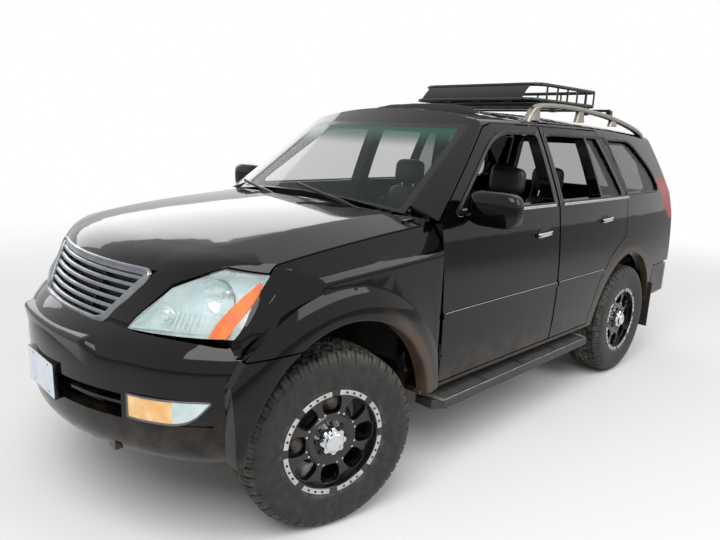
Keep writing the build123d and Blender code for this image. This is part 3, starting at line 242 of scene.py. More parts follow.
@dataclass(frozen=True)
class Paint:
    """Gloss black paint under clear lacquer, with road dust low down and round the wheel arches."""

    colour: str = "#040405"
    dust: str = "#5b4c3c"
    arch: float = 0.52
    roughness: float = 0.05
    lacquer_ior: float = 1.36
    slot: str = "body_paint"

    def build(self) -> bpy.types.Material:
        """Make the material.

        Returns:
            The new material.
        """
        shade = Shade("body_paint_gloss")
        along = shade.place("Y")
        height = shade.place("Z")
        side = shade.place("X").absolute()
        rise = height - HUB
        reach_front = ((along - FRONT_AXLE) ** 2.0 + rise ** 2.0) ** 0.5
        reach_rear = ((along - REAR_AXLE - 0.02) ** 2.0 + rise ** 2.0) ** 0.5
        behind = (along - FRONT_AXLE).band(0.12, 0.4)
        lip_front = (1.0 - reach_front.band(self.arch + 0.03, self.arch + 0.085)) * behind
        lip_rear = (1.0 - reach_rear.band(self.arch, self.arch + 0.05)) * 0.6
        lip = lip_front.maximum(lip_rear) * side.band(0.84, 0.87) * (1.0 - height.band(0.93, 1.0))
        low = (1.0 - height.band(0.4, 0.75)) * 0.4
        patches = shade.noise(11.0, 6.0, 0.6).band(0.3, 0.7)
        film = (lip * 0.8).maximum(low * patches) * (patches * 0.4 + 0.6)
        specks = shade.noise(230.0, 2.0).band(0.66, 0.72) * (0.15 + film * 0.4)
        film = film.maximum(specks * 0.5)
        shade.set(Base_Color=shade.mix(film, rgb(self.colour), rgb(self.dust)))
        shade.set(Roughness=film * 0.75 + self.roughness)
        shade.set(IOR=self.lacquer_ior)
        return shade.material


@dataclass(frozen=True)
class Plain:
    """One solid finish that changes slowly between two colours, with fine grain in its surface.

    The grain is its scale and its depth, or nothing.
    """

    name: str
    colour: str
    second: str
    roughness: float
    metallic: float = 0.0
    slot: str = "dark_trim"
    grain: tuple = ()
    coat: float = 0.0

    def build(self) -> bpy.types.Material:
        """Make the material.

        Returns:
            The new material.
        """
        shade = Shade(self.name)
        cloud = shade.noise(14.0).band(0.3, 0.75)
        shade.set(Base_Color=shade.mix(cloud, rgb(self.colour), rgb(self.second)), Metallic=self.metallic)
        shade.set(Roughness=cloud * 0.12 + self.roughness, Coat_Weight=self.coat)
        if self.grain:
            scale, depth = self.grain
            shade.bump(shade.noise(scale), depth)
        return shade.material


@dataclass(frozen=True)
class Tyre:
    """Black rubber, paler and dusty on the tread and darker on the wall."""

    name: str = "tyre_rubber_worn"
    slot: str = "tyre_rubber"

    def build(self) -> bpy.types.Material:
        """Make the material.

        Returns:
            The new material.
        """
        shade = Shade(self.name)
        spread = shade.node("UVMap")
        across = shade.node("SeparateXYZ", out="X", Vector=spread)
        tread = across.band(0.30, 0.36) * (1.0 - across.band(0.64, 0.70))
        dust = shade.noise(26.0, 5.0, 0.6).band(0.35, 0.7)
        shoulder = across.band(0.03, 0.05) * (1.0 - across.band(0.95, 0.97))
        film = dust * (0.12 + tread * 0.5 + shoulder * 0.3)
        shade.set(Base_Color=shade.mix(film, rgb("#0f0f10"), rgb("#6b655c")))
        shade.set(Roughness=film * 0.25 + 0.6)
        shade.bump(shade.noise(340.0), 0.0004)
        return shade.material


@dataclass(frozen=True)
class Pane:
    """Tinted see-through sheet, hazy in patches as far as its cloudiness asks."""

    name: str
    colour: str
    clearness: float
    slot: str = "window_glass"
    cloudy: float = 0.0

    def build(self) -> bpy.types.Material:
        """Make the material.

        Returns:
            The new material.
        """
        shade = Shade(self.name)
        haze = shade.noise(7.0, 5.0).band(0.35, 0.75) * self.cloudy
        shade.set(Base_Color=rgb(self.colour), Roughness=haze * 0.3 + 0.02)
        shade.set(Alpha=haze * 0.5 + (1.0 - self.clearness))
        shade.set(IOR=GLASS_IOR)
        shade.material.surface_render_method = "BLENDED"
        return shade.material


@dataclass(frozen=True)
class Screen:
    """Windscreen: clear sheet with a green band along its top and a black printed edge."""

    name: str = "windscreen_shaded"
    slot: str = "window_glass"
    foot_z: float = 1.306
    foot_half: float = 0.699
    lean_in: float = 0.074 / 0.434

    def build(self) -> bpy.types.Material:
        """Make the material.

        Returns:
            The new material.
        """
        shade = Shade(self.name)
        height = shade.place("Z")
        side = shade.place("X").absolute()
        half = self.foot_half - (height - self.foot_z) * self.lean_in
        edge = (side - half).band(-0.045, -0.035)
        head = height.band(1.715, 1.722)
        foot = 1.0 - (height + side * side * 0.08).band(1.352, 1.362)
        printed = edge.maximum(head).maximum(foot)
        band = height.band(1.60, 1.70)
        tint = shade.mix(band, rgb("#1a2622"), rgb("#0f4a3a"))
        shade.set(Base_Color=shade.mix(printed, tint, rgb("#050505")))
        shade.set(Alpha=printed.maximum(band * 0.45 + 0.30), Roughness=printed * 0.2 + 0.02)
        shade.set(IOR=GLASS_IOR)
        shade.material.surface_render_method = "BLENDED"
        return shade.material


class Look(Enum):
    """Finishes of the car, by name."""

    PAINT = Paint()
    SATIN_CHROME = Plain("grille_satin_chrome", "#8a8d92", "#7a7d82", 0.2, 1.0, slot="bright_trim")
    CHROME = Plain("bright_chrome", "#d4d6da", "#c2c4c8", 0.08, 1.0, slot="bright_trim")
    MACHINED = Plain(
        "machined_rim_lip", "#c9c9cb", "#b4b0aa", 0.3, 1.0, slot="bright_trim", grain=(90.0, 0.0001)
    )
    RAIL_SILVER = Plain("roof_rail_silver", "#9a958d", "#8a857e", 0.32, 1.0, slot="bright_trim")
    WINDOW_FRAME = Plain("window_frame_dark_satin", "#39383a", "#2c2b2c", 0.3, 0.7, slot="bright_trim")
    BOARD_RIB = Plain("board_rib_grey", "#3c3d40", "#504d49", 0.5, grain=(200.0, 0.0002))
    FRAME_GREY = Plain("window_frame_satin_grey", "#6c6e72", "#5c5e62", 0.34, 0.8, slot="bright_trim")
    PILLAR_BLACK = Plain("pillar_satin_black", "#0d0d0f", "#131315", 0.3)
    DARK_PLASTIC = Plain("dark_textured_plastic", "#17181a", "#212224", 0.5, grain=(400.0, 0.0002))
    # Grey of the board ends and edge, lightened as a painted highlight of the sky on their tops, with a dusty
    # second tone.
    BOARD_GREY_PAINTED_HIGHLIGHT = Plain("board_grey_painted_highlight", "#8d9094", "#5f5b55", 0.5, grain=(200.0, 0.0002))
    BOARD_DARK = Plain("board_tread_rubber", "#232426", "#3a3632", 0.55, grain=(220.0, 0.0003))
    GRILLE_DARK = Plain("grille_mesh_black", "#060607", "#0a0a0b", 0.5, grain=(500.0, 0.0006))
    FRAME_BLACK = Plain(
        "chassis_black", "#151516", "#3a3026", 0.5, slot="chassis_paint", grain=(60.0, 0.0006)
    )
    LINER = Plain("arch_liner_dusty", "#1b1a19", "#3b332b", 0.85, slot="chassis_paint", grain=(50.0, 0.0010))
    TUBE_BLACK = Plain(
        "basket_tube_black", "#0a0a0b", "#101011", 0.3, slot="chassis_paint", grain=(300.0, 0.0001)
    )
    CAST_METAL = Plain(
        "cast_metal_dusty", "#3d3a36", "#57493b", 0.6, 0.6, slot="cast_metal", grain=(90.0, 0.0008)
    )
    BRAKE_STEEL = Plain(
        "brake_disc_steel", "#8d8a86", "#6b5d50", 0.35, 1.0, slot="cast_metal", grain=(120.0, 0.0002)
    )
    PIPE_STEEL = Plain(
        "exhaust_steel", "#7a736b", "#5b4a3d", 0.4, 1.0, slot="pipe_steel", grain=(60.0, 0.0004)
    )
    RUBBER = Plain("seal_rubber", "#0e0e0e", "#191817", 0.7, slot="flap_rubber", grain=(300.0, 0.0003))
    TYRE = Tyre()
    LEATHER = Plain(
        "seat_leather_black", "#1c1d1f", "#26272a", 0.42, slot="seat_leather", grain=(260.0, 0.0006)
    )
    WHEEL_BLACK = Plain("wheel_gloss_black", "#09090b", "#14120f", 0.2, slot="wheel_paint", coat=0.3)
    BOLT_BLACK = Plain("bolt_black", "#101012", "#18181a", 0.35, 0.4, slot="wheel_paint")
    PLATE = Plain("blank_plate_white", "#d9dfe6", "#c6d2e0", 0.4, slot="bright_trim")
    LENS = Pane("lamp_lens_clear", "#dfeeee", 0.72, "clear_lens", 0.5)
    GLASS = Pane("window_glass", "#121c18", 0.6)
    MIRROR = Plain("mirror_glass", "#c8ccd0", "#c0c4c8", 0.03, 1.0, slot="bright_trim")
    SCREEN = Screen()
    BOWL = Plain("lamp_reflector", "#d3dcdc", "#b6cfcf", 0.14, 1.0, slot="bright_trim")
    LAMP_INNER = Plain("lamp_inner_pale", "#c4d4d4", "#a9c4c6", 0.3, 0.2, slot="clear_lens")
    AMBER = Plain("lens_amber", "#cf5208", "#e5741a", 0.4, slot="clear_lens")
    FOG_AMBER = Plain(
        "fog_lens_warm", "#e0a860", "#f2cf93", 0.2, slot="clear_lens", grain=(60.0, 0.0004), coat=1.0
    )
    RED_LENS = Plain("lamp_lens_red", "#7a0408", "#980c12", 0.3, slot="red_lens")


LOOK_OF_SLOT = {
    "body_paint": Look.PAINT,
    "chassis_paint": Look.FRAME_BLACK,
    "bright_trim": Look.SATIN_CHROME,
    "dark_trim": Look.DARK_PLASTIC,
    "window_glass": Look.GLASS,
    "clear_lens": Look.LENS,
    "red_lens": Look.RED_LENS,
    "seat_leather": Look.LEATHER,
    "tyre_rubber": Look.RUBBER,
    "flap_rubber": Look.RUBBER,
    "wheel_paint": Look.WHEEL_BLACK,
    "cast_metal": Look.CAST_METAL,
    "pipe_steel": Look.PIPE_STEEL,
}
LOOK_OF_NODE = {
    "windscreen": Look.SCREEN,
    "roof_basket": Look.TUBE_BLACK,
    "fog_lamps": Look.LENS,
    "floor_pan": Look.LINER,
    "bulkhead": Look.LINER,
    "running_boards": Look.BOARD_DARK,
}


class Finishes:
    """Makes each finish once and gives it to the construction's nodes."""

    def __init__(self) -> None:
        """Start with none made."""
        self.made: dict[Look, bpy.types.Material] = {}

    def get(self, look: Look) -> bpy.types.Material:
        """Material of a finish.

        Args:
            look: the finish.

        Returns:
            Its material, made at the first call.
        """
        if look not in self.made:
            self.made[look] = look.value.build()
        return self.made[look]

    def dress(self, frame: dict) -> None:
        """Give every node the finish of its slot, welded and smooth up to its edges.

        Args:
            frame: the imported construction: its record and its nodes.
        """
        slots = {entry["node"]: entry["material_slot"] for entry in frame["record"]["subparts"]}
        for name, node in frame["nodes"].items():
            look = LOOK_OF_NODE.get(name, LOOK_OF_SLOT[slots[name]])
            node.data.materials.clear()
            node.data.materials.append(self.get(look))
            node.data.polygons.foreach_set("use_smooth", np.ones(len(node.data.polygons), dtype=bool))
            weld = node.modifiers.new("weld", "WELD")
            weld.merge_threshold = 0.00002
            split = node.modifiers.new("edges", "EDGE_SPLIT")
            split.split_angle = math.radians(28.0)


def unit(vectors: np.ndarray) -> np.ndarray:
    """Vectors scaled to length one."""
    return vectors / np.maximum(np.linalg.norm(vectors, axis=-1, keepdims=True), 1e-9)


def parabola(at: np.ndarray, first: tuple, second: tuple, third: tuple) -> np.ndarray:
    """Value at a place of the parabola through three (place, value) points.

    Args:
        at: the places.
        first: one place and its value.
        second: another.
        third: the last.

    Returns:
        The value at each place.
    """
    (a, fa), (b, fb), (c, fc) = first, second, third
    share_a = (at - b) * (at - c) / ((a - b) * (a - c))
    share_b = (at - a) * (at - c) / ((b - a) * (b - c))
    share_c = (at - a) * (at - b) / ((c - a) * (c - b))
    return share_a * fa + share_b * fb + share_c * fc


def curve(points: Sequence, per_span: int = 8, closed: bool = False) -> np.ndarray:
    """Smooth line through points: a cubic between each two whose ends follow the neighbours' directions.

    Args:
        points: the points that it passes through.
        per_span: steps in each span.
        closed: whether it returns to its start.

    Returns:
        Points along the line.
    """
    knots = np.asarray(points, dtype=float)
    if closed:
        padded = np.concatenate([knots[-1:], knots, knots[:2]])
    else:
        padded = np.concatenate([2 * knots[:1] - knots[1:2], knots, 2 * knots[-1:] - knots[-2:-1]])
    before, start, end, after = padded[:-3], padded[1:-2], padded[2:-1], padded[3:]
    share = (np.arange(per_span) / per_span)[None, :, None]
    before, start, end, after = (knot[:, None, :] for knot in (before, start, end, after))
    spans = 0.5 * (
        2 * start + (end - before) * share + (2 * before - 5 * start + 4 * end - after) * share ** 2
        + (3 * start - before - 3 * end + after) * share ** 3
    )
    line = spans.reshape(-1, knots.shape[1])
    return line if closed else np.concatenate([line, knots[-1:]])


def rounded(points: Sequence, radius: float | Sequence, steps: int = 5, closed: bool = True) -> np.ndarray:
    """Outline whose corners are cut back by a radius, one or one each, and replaced by quadratic curves.

    Args:
        points: the corners.
        radius: distance cut back along both sides.
        steps: points in each bend.
        closed: whether it is a ring; if not, its two ends stay as they are.

    Returns:
        Points along the outline.
    """
    corners = np.asarray(points, dtype=float)
    ahead = np.roll(corners, -1, axis=0)
    behind = np.roll(corners, 1, axis=0)
    share = np.linspace(0.0, 1.0, steps)[None, :, None]
    reach = np.broadcast_to(np.asarray(radius, dtype=float), (len(corners),))[:, None]
    begin = (corners + unit(behind - corners) * reach)[:, None, :]
    finish = (corners + unit(ahead - corners) * reach)[:, None, :]
    middle = corners[:, None, :]
    bends = (1 - share) ** 2 * begin + 2 * share * (1 - share) * middle + share ** 2 * finish
    if closed:
        return bends.reshape(-1, corners.shape[1])
    inner = bends[1:-1].reshape(-1, corners.shape[1])
    return np.concatenate([corners[:1], inner, corners[-1:]])


def circle(radius: float, sides: int = 12) -> np.ndarray:
    """Round section for a sweep."""
    angles = np.arange(sides) * 2 * math.pi / sides
    return np.stack([np.cos(angles), np.sin(angles)], -1) * radius


def bar(width: float, height: float, radius: float, steps: int = 4) -> np.ndarray:
    """Rectangular section with round corners for a sweep: across, then up.

    Args:
        width: extent across.
        height: extent up.
        radius: distance cut back at each corner.
        steps: points in each bend.

    Returns:
        Pairs of (across, up).
    """
    half_w, half_h = width / 2, height / 2
    corners = [(-half_w, -half_h), (half_w, -half_h), (half_w, half_h), (-half_w, half_h)]
    return rounded(corners, radius, steps)


@dataclass
class Shape:
    """Points and faces of a piece, before it becomes a mesh."""

    points: np.ndarray
    faces: list

    def moved(self, *shift: float) -> "Shape":
        """Copy shifted by x, y, z."""
        return Shape(self.points + np.array(shift), self.faces)

    def sized(self, *factors: float) -> "Shape":
        """Copy scaled along x, y, z."""
        return Shape(self.points * np.array(factors), self.faces)

    def mirrored(self) -> "Shape":
        """Copy for the other side of the car."""
        return self.sized(-1.0, 1.0, 1.0)

    def turned(self, axis: str, angle: float, centre: tuple = (0.0, 0.0, 0.0)) -> "Shape":
        """Copy turned about an axis through a centre.

        Args:
            axis: X, Y or Z.
            angle: in radians.
            centre: a point on the axis.

        Returns:
            The copy.
        """
        matrix = np.array(Matrix.Rotation(angle, 3, axis))
        middle = np.array(centre)
        return Shape((self.points - middle) @ matrix.T + middle, self.faces)


def join(shapes: Sequence[Shape]) -> Shape:
    """One shape of several.

    Args:
        shapes: the shapes.

    Returns:
        All their points and faces.
    """
    points, faces, count = [], [], 0
    for shape in shapes:
        points.append(shape.points)
        faces += [np.asarray(face) + count for face in shape.faces]
        count += len(shape.points)
    return Shape(np.concatenate(points), faces)


def skin(grid: np.ndarray, wrap: bool = False, caps: bool = False) -> Shape:
    """Surface over a grid of points.

    Args:
        grid: rows by columns by three.
        wrap: whether the last column meets the first.
        caps: whether the first and last rows are filled.

    Returns:
        The surface.
    """
    rows, cols = grid.shape[:2]
    row = np.arange(rows - 1)[:, None]
    col = np.arange(cols if wrap else cols - 1)[None, :]
    after = (col + 1) % cols
    here, above = row * cols, (row + 1) * cols
    quads = np.stack([here + col, here + after, above + after, above + col], -1)
    faces = list(quads.reshape(-1, 4))
    if caps:
        faces.append(np.arange(cols)[::-1])
        faces.append(np.arange(cols) + (rows - 1) * cols)
    return Shape(grid.reshape(-1, 3), faces)


def rim_of(grid: np.ndarray) -> np.ndarray:
    """Points round the edge of a grid, in order."""
    return np.concatenate([grid[0, :-1], grid[:-1, -1], grid[-1, :0:-1], grid[:0:-1, 0]])


def sheet(front: np.ndarray, back: np.ndarray) -> Shape:
    """Closed thin panel between two grids of the same size."""
    edge = skin(np.stack([rim_of(front), rim_of(back)]), wrap=True)
    return join([skin(front), skin(back), edge])


def finer(outline: np.ndarray, steps: int) -> np.ndarray:
    """Closed outline with each side divided into equal steps.

    Args:
        outline: its corners.
        steps: steps on each side.

    Returns:
        Points along the outline.
    """
    share = np.linspace(0, 1, steps, endpoint=False)[None, :, None]
    ahead = np.roll(outline, -1, axis=0)
    return (outline[:, None] * (1 - share) + ahead[:, None] * share).reshape(-1, outline.shape[1])


def sweep(path: np.ndarray, section: np.ndarray, up: tuple = (0.0, 0.0, 1.0), closed: bool = False) -> Shape:
    """A section carried along a path: its first axis lies across, its second towards up.

    Args:
        path: points in order.
        section: pairs of (across, up).
        up: direction that the second axis leans to.
        closed: whether the path returns to its start.

    Returns:
        The surface, with its ends filled if the path is open.
    """
    line = np.asarray(path, dtype=float)
    if closed:
        ahead = np.roll(line, -1, axis=0) - np.roll(line, 1, axis=0)
    else:
        ahead = np.gradient(line, axis=0)
    ahead = unit(ahead)
    across = unit(np.cross(ahead, np.broadcast_to(np.asarray(up, dtype=float), line.shape)))
    over = np.cross(across, ahead)
    grid = line[:, None] + across[:, None] * section[None, :, :1] + over[:, None] * section[None, :, 1:]
    if closed:
        grid = np.concatenate([grid, grid[:1]])
    return skin(grid, wrap=True, caps=not closed)


def run(x: Sequence, y: Sequence, z: Sequence) -> np.ndarray:
    """Path of three points; a single value stays the same along it."""
    return np.stack([np.broadcast_to(np.asarray(value, dtype=float), (3,)) for value in (x, y, z)], -1)


def lathe(profile: Sequence, sides: int = 64) -> Shape:
    """Profile of (along, radius) points turned about the X axis, closed where it ends at the axis.

    Args:
        profile: the (along, radius) points.
        sides: points round the axis.

    Returns:
        The surface.
    """
    angles = np.arange(sides) * 2 * math.pi / sides
    outline = np.asarray(profile, dtype=float)
    along = np.broadcast_to(outline[:, :1], (len(outline), sides))
    grid = np.stack([along, outline[:, 1:] * np.cos(angles), outline[:, 1:] * np.sin(angles)], -1)
    ends = bool(outline[0, 1] < 1e-3 or outline[-1, 1] < 1e-3)
    return skin(grid, wrap=True, caps=ends)


def slab(outline: np.ndarray, low: float, high: float, axis: int) -> Shape:
    """Flat plate: an outline in the two other axes, in order, between two levels of an axis.

    Args:
        outline: pairs in the two other axes.
        low: one level.
        high: the other level.
        axis: 0, 1 or 2 for X, Y or Z.

    Returns:
        The closed plate.
    """
    ring = np.asarray(outline, dtype=float)
    grid = np.stack([np.insert(ring, axis, level, axis=1) for level in (low, high)])
    return skin(grid, wrap=True, caps=True)


def pillow(size: tuple, centre: tuple, squareness: float = 0.45, sides: int = 40) -> Shape:
    """Puffed box: a ball whose sines and cosines are raised to a power, scaled to a size.

    Args:
        size: extents along X, Y and Z.
        centre: its middle.
        squareness: the power: a smaller one makes it boxier.
        sides: points round it.

    Returns:
        The closed surface.
    """
    def power(value: np.ndarray) -> np.ndarray:
        """Value raised to the power with its sign kept."""
        return np.sign(value) * np.abs(value) ** squareness

    turn = np.arange(sides) * 2 * math.pi / sides
    rise = np.linspace(-math.pi / 2, math.pi / 2, sides // 2 + 1)[1:-1]
    ring = power(np.cos(rise))[:, None]
    height = power(np.sin(rise))[:, None] * np.ones(sides)
    grid = np.stack([ring * power(np.cos(turn)), ring * power(np.sin(turn)), height], -1)
    body = skin(grid, wrap=True, caps=True)
    return body.sized(*(extent / 2 for extent in size)).moved(*centre)


def box(size: tuple, centre: tuple) -> Shape:
    """Plain block.

    Args:
        size: extents along X, Y and Z.
        centre: its middle.

    Returns:
        The closed block.
    """
    half_x, half_y = size[0] / 2, size[1] / 2
    ring = [(-half_x, -half_y), (half_x, -half_y), (half_x, half_y), (-half_x, half_y)]
    return slab(np.array(ring), -size[2] / 2, size[2] / 2, 2).moved(*centre)


@dataclass
class Kit:
    """Adds pieces to the scene, each with its finish and the body that it moves with."""

    finishes: Finishes

    def add(
        self, name: str, shape: Shape, look: Look, body: str = "body", crease: float = 35.0,
        bevel: float = 0.0, replaces: Sequence[str] = (), spread: Optional[np.ndarray] = None,
    ) -> bpy.types.Object:
        """Make one piece.

        Args:
            name: its name.
            shape: its points and faces.
            look: its finish.
            body: the body it rides on.
            crease: angle in degrees above which edges stay sharp.
            bevel: width of a rounded edge, if any.
            replaces: construction nodes that it stands for.
            spread: surface coordinates of each point, if the finish reads them.

        Returns:
            The new object.
        """
        mesh = bpy.data.meshes.new(name)
        mesh.from_pydata(shape.points.tolist(), [], [face.tolist() for face in shape.faces])
        work = bmesh.new()
        work.from_mesh(mesh)
        bmesh.ops.recalc_face_normals(work, faces=work.faces)
        work.to_mesh(mesh)
        work.free()
        mesh.polygons.foreach_set("use_smooth", np.ones(len(mesh.polygons), dtype=bool))
        mesh.set_sharp_from_angle(angle=math.radians(crease))
        if spread is not None:
            loops = np.zeros(len(mesh.loops), dtype=np.int32)
            mesh.loops.foreach_get("vertex_index", loops)
            layer = mesh.uv_layers.new(name="spread")
            layer.data.foreach_set("uv", spread[loops].astype(np.float32).ravel())
        mesh.materials.append(self.finishes.get(look))
        piece = bpy.data.objects.new(name, mesh)
        bpy.context.scene.collection.objects.link(piece)
        if bevel:
            rounding = piece.modifiers.new("rounding", "BEVEL")
            rounding.width = bevel
            rounding.segments = 2
            rounding.limit_method = "ANGLE"
            rounding.angle_limit = math.radians(40.0)
        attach(piece, body)
        if replaces:
            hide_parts(*replaces)
        log.info("made %s on %s", name, body)
        return piece

    def pair(self, name: str, shape: Shape, look: Look, bodies: tuple = ("body", "body"), **more) -> None:
        """Make a left-hand piece and its mirror image on the right."""
        self.add(name + "_left", shape, look, bodies[0], **more)
        self.add(name + "_right", shape.mirrored(), look, bodies[1], **more)


class Cabin:
    """Side surface of the cabin, from the construction's cross-sections."""

    stations = np.array([-1.060, 0.250, 1.400, 2.330])
    sill = np.array([0.892, 0.898, 0.896, 0.850])
    waist = np.array([0.914, 0.918, 0.915, 0.862])
    belt = np.array([0.874, 0.880, 0.872, 0.806])
    edge = np.array([0.680, 0.664, 0.647, 0.612])
    edge_z = np.array([1.722, 1.778, 1.762, 1.708])
    sill_z = 0.45
    waist_z = 0.825
    belt_z = 1.29
    bulge = 0.009

    def through(self, y: np.ndarray, values: np.ndarray) -> np.ndarray:
        """Cubic through the four stations."""
        return np.polyval(np.polyfit(self.stations, values, 3), y)

    def side(self, y: np.ndarray, z: np.ndarray) -> np.ndarray:
        """Distance of the outer skin from the middle, at a place along and a height.

        Args:
            y: places along.
            z: heights.

        Returns:
            The distances.
        """
        y, z = np.broadcast_arrays(np.asarray(y, dtype=float), np.asarray(z, dtype=float))
        sill, waist, belt = (self.through(y, values) for values in (self.sill, self.waist, self.belt))
        edge, top = self.through(y, self.edge), self.through(y, self.edge_z)
        lower = parabola(z, (self.sill_z, sill), (self.waist_z, waist), (self.belt_z, belt))
        middle = (belt + edge) / 2 + self.bulge
        upper = parabola(z, (self.belt_z, belt), ((self.belt_z + top) / 2, middle), (top, edge))
        return np.where(z < self.belt_z, lower, upper)

    def along(self, outline: np.ndarray, proud: float) -> np.ndarray:
        """Points on the skin over an outline of (y, z), raised by a height."""
        return np.stack([self.side(outline[:, 0], outline[:, 1]) + proud, outline[:, 0], outline[:, 1]], -1)


class Nose:
    """Front surface of the nose, from the construction's plans at each height."""

    front = -2.390
    brow_x = 0.450
    levels = (
        (0.850, 0.078, 0.150, (0.665, 0.240), (0.855, 0.380), (0.930, 0.650)),
        (0.935, 0.119, 0.191, (0.661, 0.286), (0.846, 0.443), (0.922, 0.699)),
        (1.020, 0.161, 0.233, (0.656, 0.332), (0.837, 0.506), (0.913, 0.749)),
        (1.100, 0.202, 0.274, (0.652, 0.377), (0.828, 0.565), (0.905, 0.795)),
        (1.155, 0.240, 0.315, (0.650, 0.408), (0.826, 0.602), (0.902, 0.826)),
        (1.195, 0.305, 0.385, (0.648, 0.470), (0.822, 0.655), (0.898, 0.860)),
        (1.228, 0.400, 0.490, (0.646, 0.580), (0.818, 0.760), (0.895, 0.930)),
    )

    def face(self, x: np.ndarray, z: np.ndarray) -> np.ndarray:
        """Place along the car of the nose's surface, at a distance from the middle and a height.

        Args:
            x: distances from the middle.
            z: heights.

        Returns:
            The places along.
        """
        x, z = np.broadcast_arrays(np.abs(np.asarray(x, dtype=float)), np.asarray(z, dtype=float))
        backs = []
        for _, middle, brow, cheek, corner, side in self.levels:
            inner = middle + (brow - middle) * (x / self.brow_x) ** 2
            outer = parabola(x, (self.brow_x, brow), cheek, corner)
            flank = corner[1] + (x - corner[0]) * (side[1] - corner[1]) / (side[0] - corner[0])
            backs.append(np.where(x < self.brow_x, inner, np.where(x < corner[0], outer, flank)))
        heights = np.array([level[0] for level in self.levels])
        table = np.stack(backs)
        index = np.clip(np.searchsorted(heights, z) - 1, 0, len(heights) - 2)
        share = (z - heights[index]) / (heights[index + 1] - heights[index])
        low = np.take_along_axis(table, index[None], 0)[0]
        high = np.take_along_axis(table, index[None] + 1, 0)[0]
        return self.front + low + (high - low) * share

    def over(self, outline: np.ndarray, proud: float) -> np.ndarray:
        """Points on the nose over a front-view outline of (x, z), raised forwards."""
        return np.stack([outline[:, 0], self.face(outline[:, 0], outline[:, 1]) - proud, outline[:, 1]], -1)


class Bumper:
    """Front surface of the bumper, from the construction's plan and its draw-in by height."""

    front = -2.390
    heights = np.array([0.425, 0.460, 0.530, 0.620, 0.695, 0.770, 0.830, 0.872, 0.905, 0.945])
    draws = np.array([0.062, 0.030, 0.006, 0.0, 0.0, 0.0, 0.009, 0.032, 0.068, 0.118])
    points = ((0.0, 0.010), (0.525, 0.135), (0.740, 0.265), (0.905, 0.460), (0.930, 0.720))
    turns = ((0.0, 1.0), (0.25, 0.97), (0.62, 0.78), (0.9, 0.44), (1.0, 0.0))

    def face(self, x: np.ndarray, z: np.ndarray) -> np.ndarray:
        """Place along the car of the bumper's surface.

        Args:
            x: distances from the middle.
            z: heights.

        Returns:
            The places along.
        """
        x, z = np.broadcast_arrays(np.abs(np.asarray(x, dtype=float)), np.asarray(z, dtype=float))
        draw = np.interp(z, self.heights, self.draws)
        placed = [
            (x_at - draw * across, back + draw * along)
            for (x_at, back), (across, along) in zip(self.points, self.turns)
        ]
        middle, brow, cheek, corner, _ = placed
        inner = middle[1] + (brow[1] - middle[1]) * (x / brow[0]) ** 2
        outer = parabola(x, brow, cheek, corner)
        return self.front + np.where(x < brow[0], inner, outer)

    def over(self, outline: np.ndarray, proud: float) -> np.ndarray:
        """Points on the bumper over a front-view outline of (x, z), raised forwards."""
        return np.stack([outline[:, 0], self.face(outline[:, 0], outline[:, 1]) - proud, outline[:, 1]], -1)


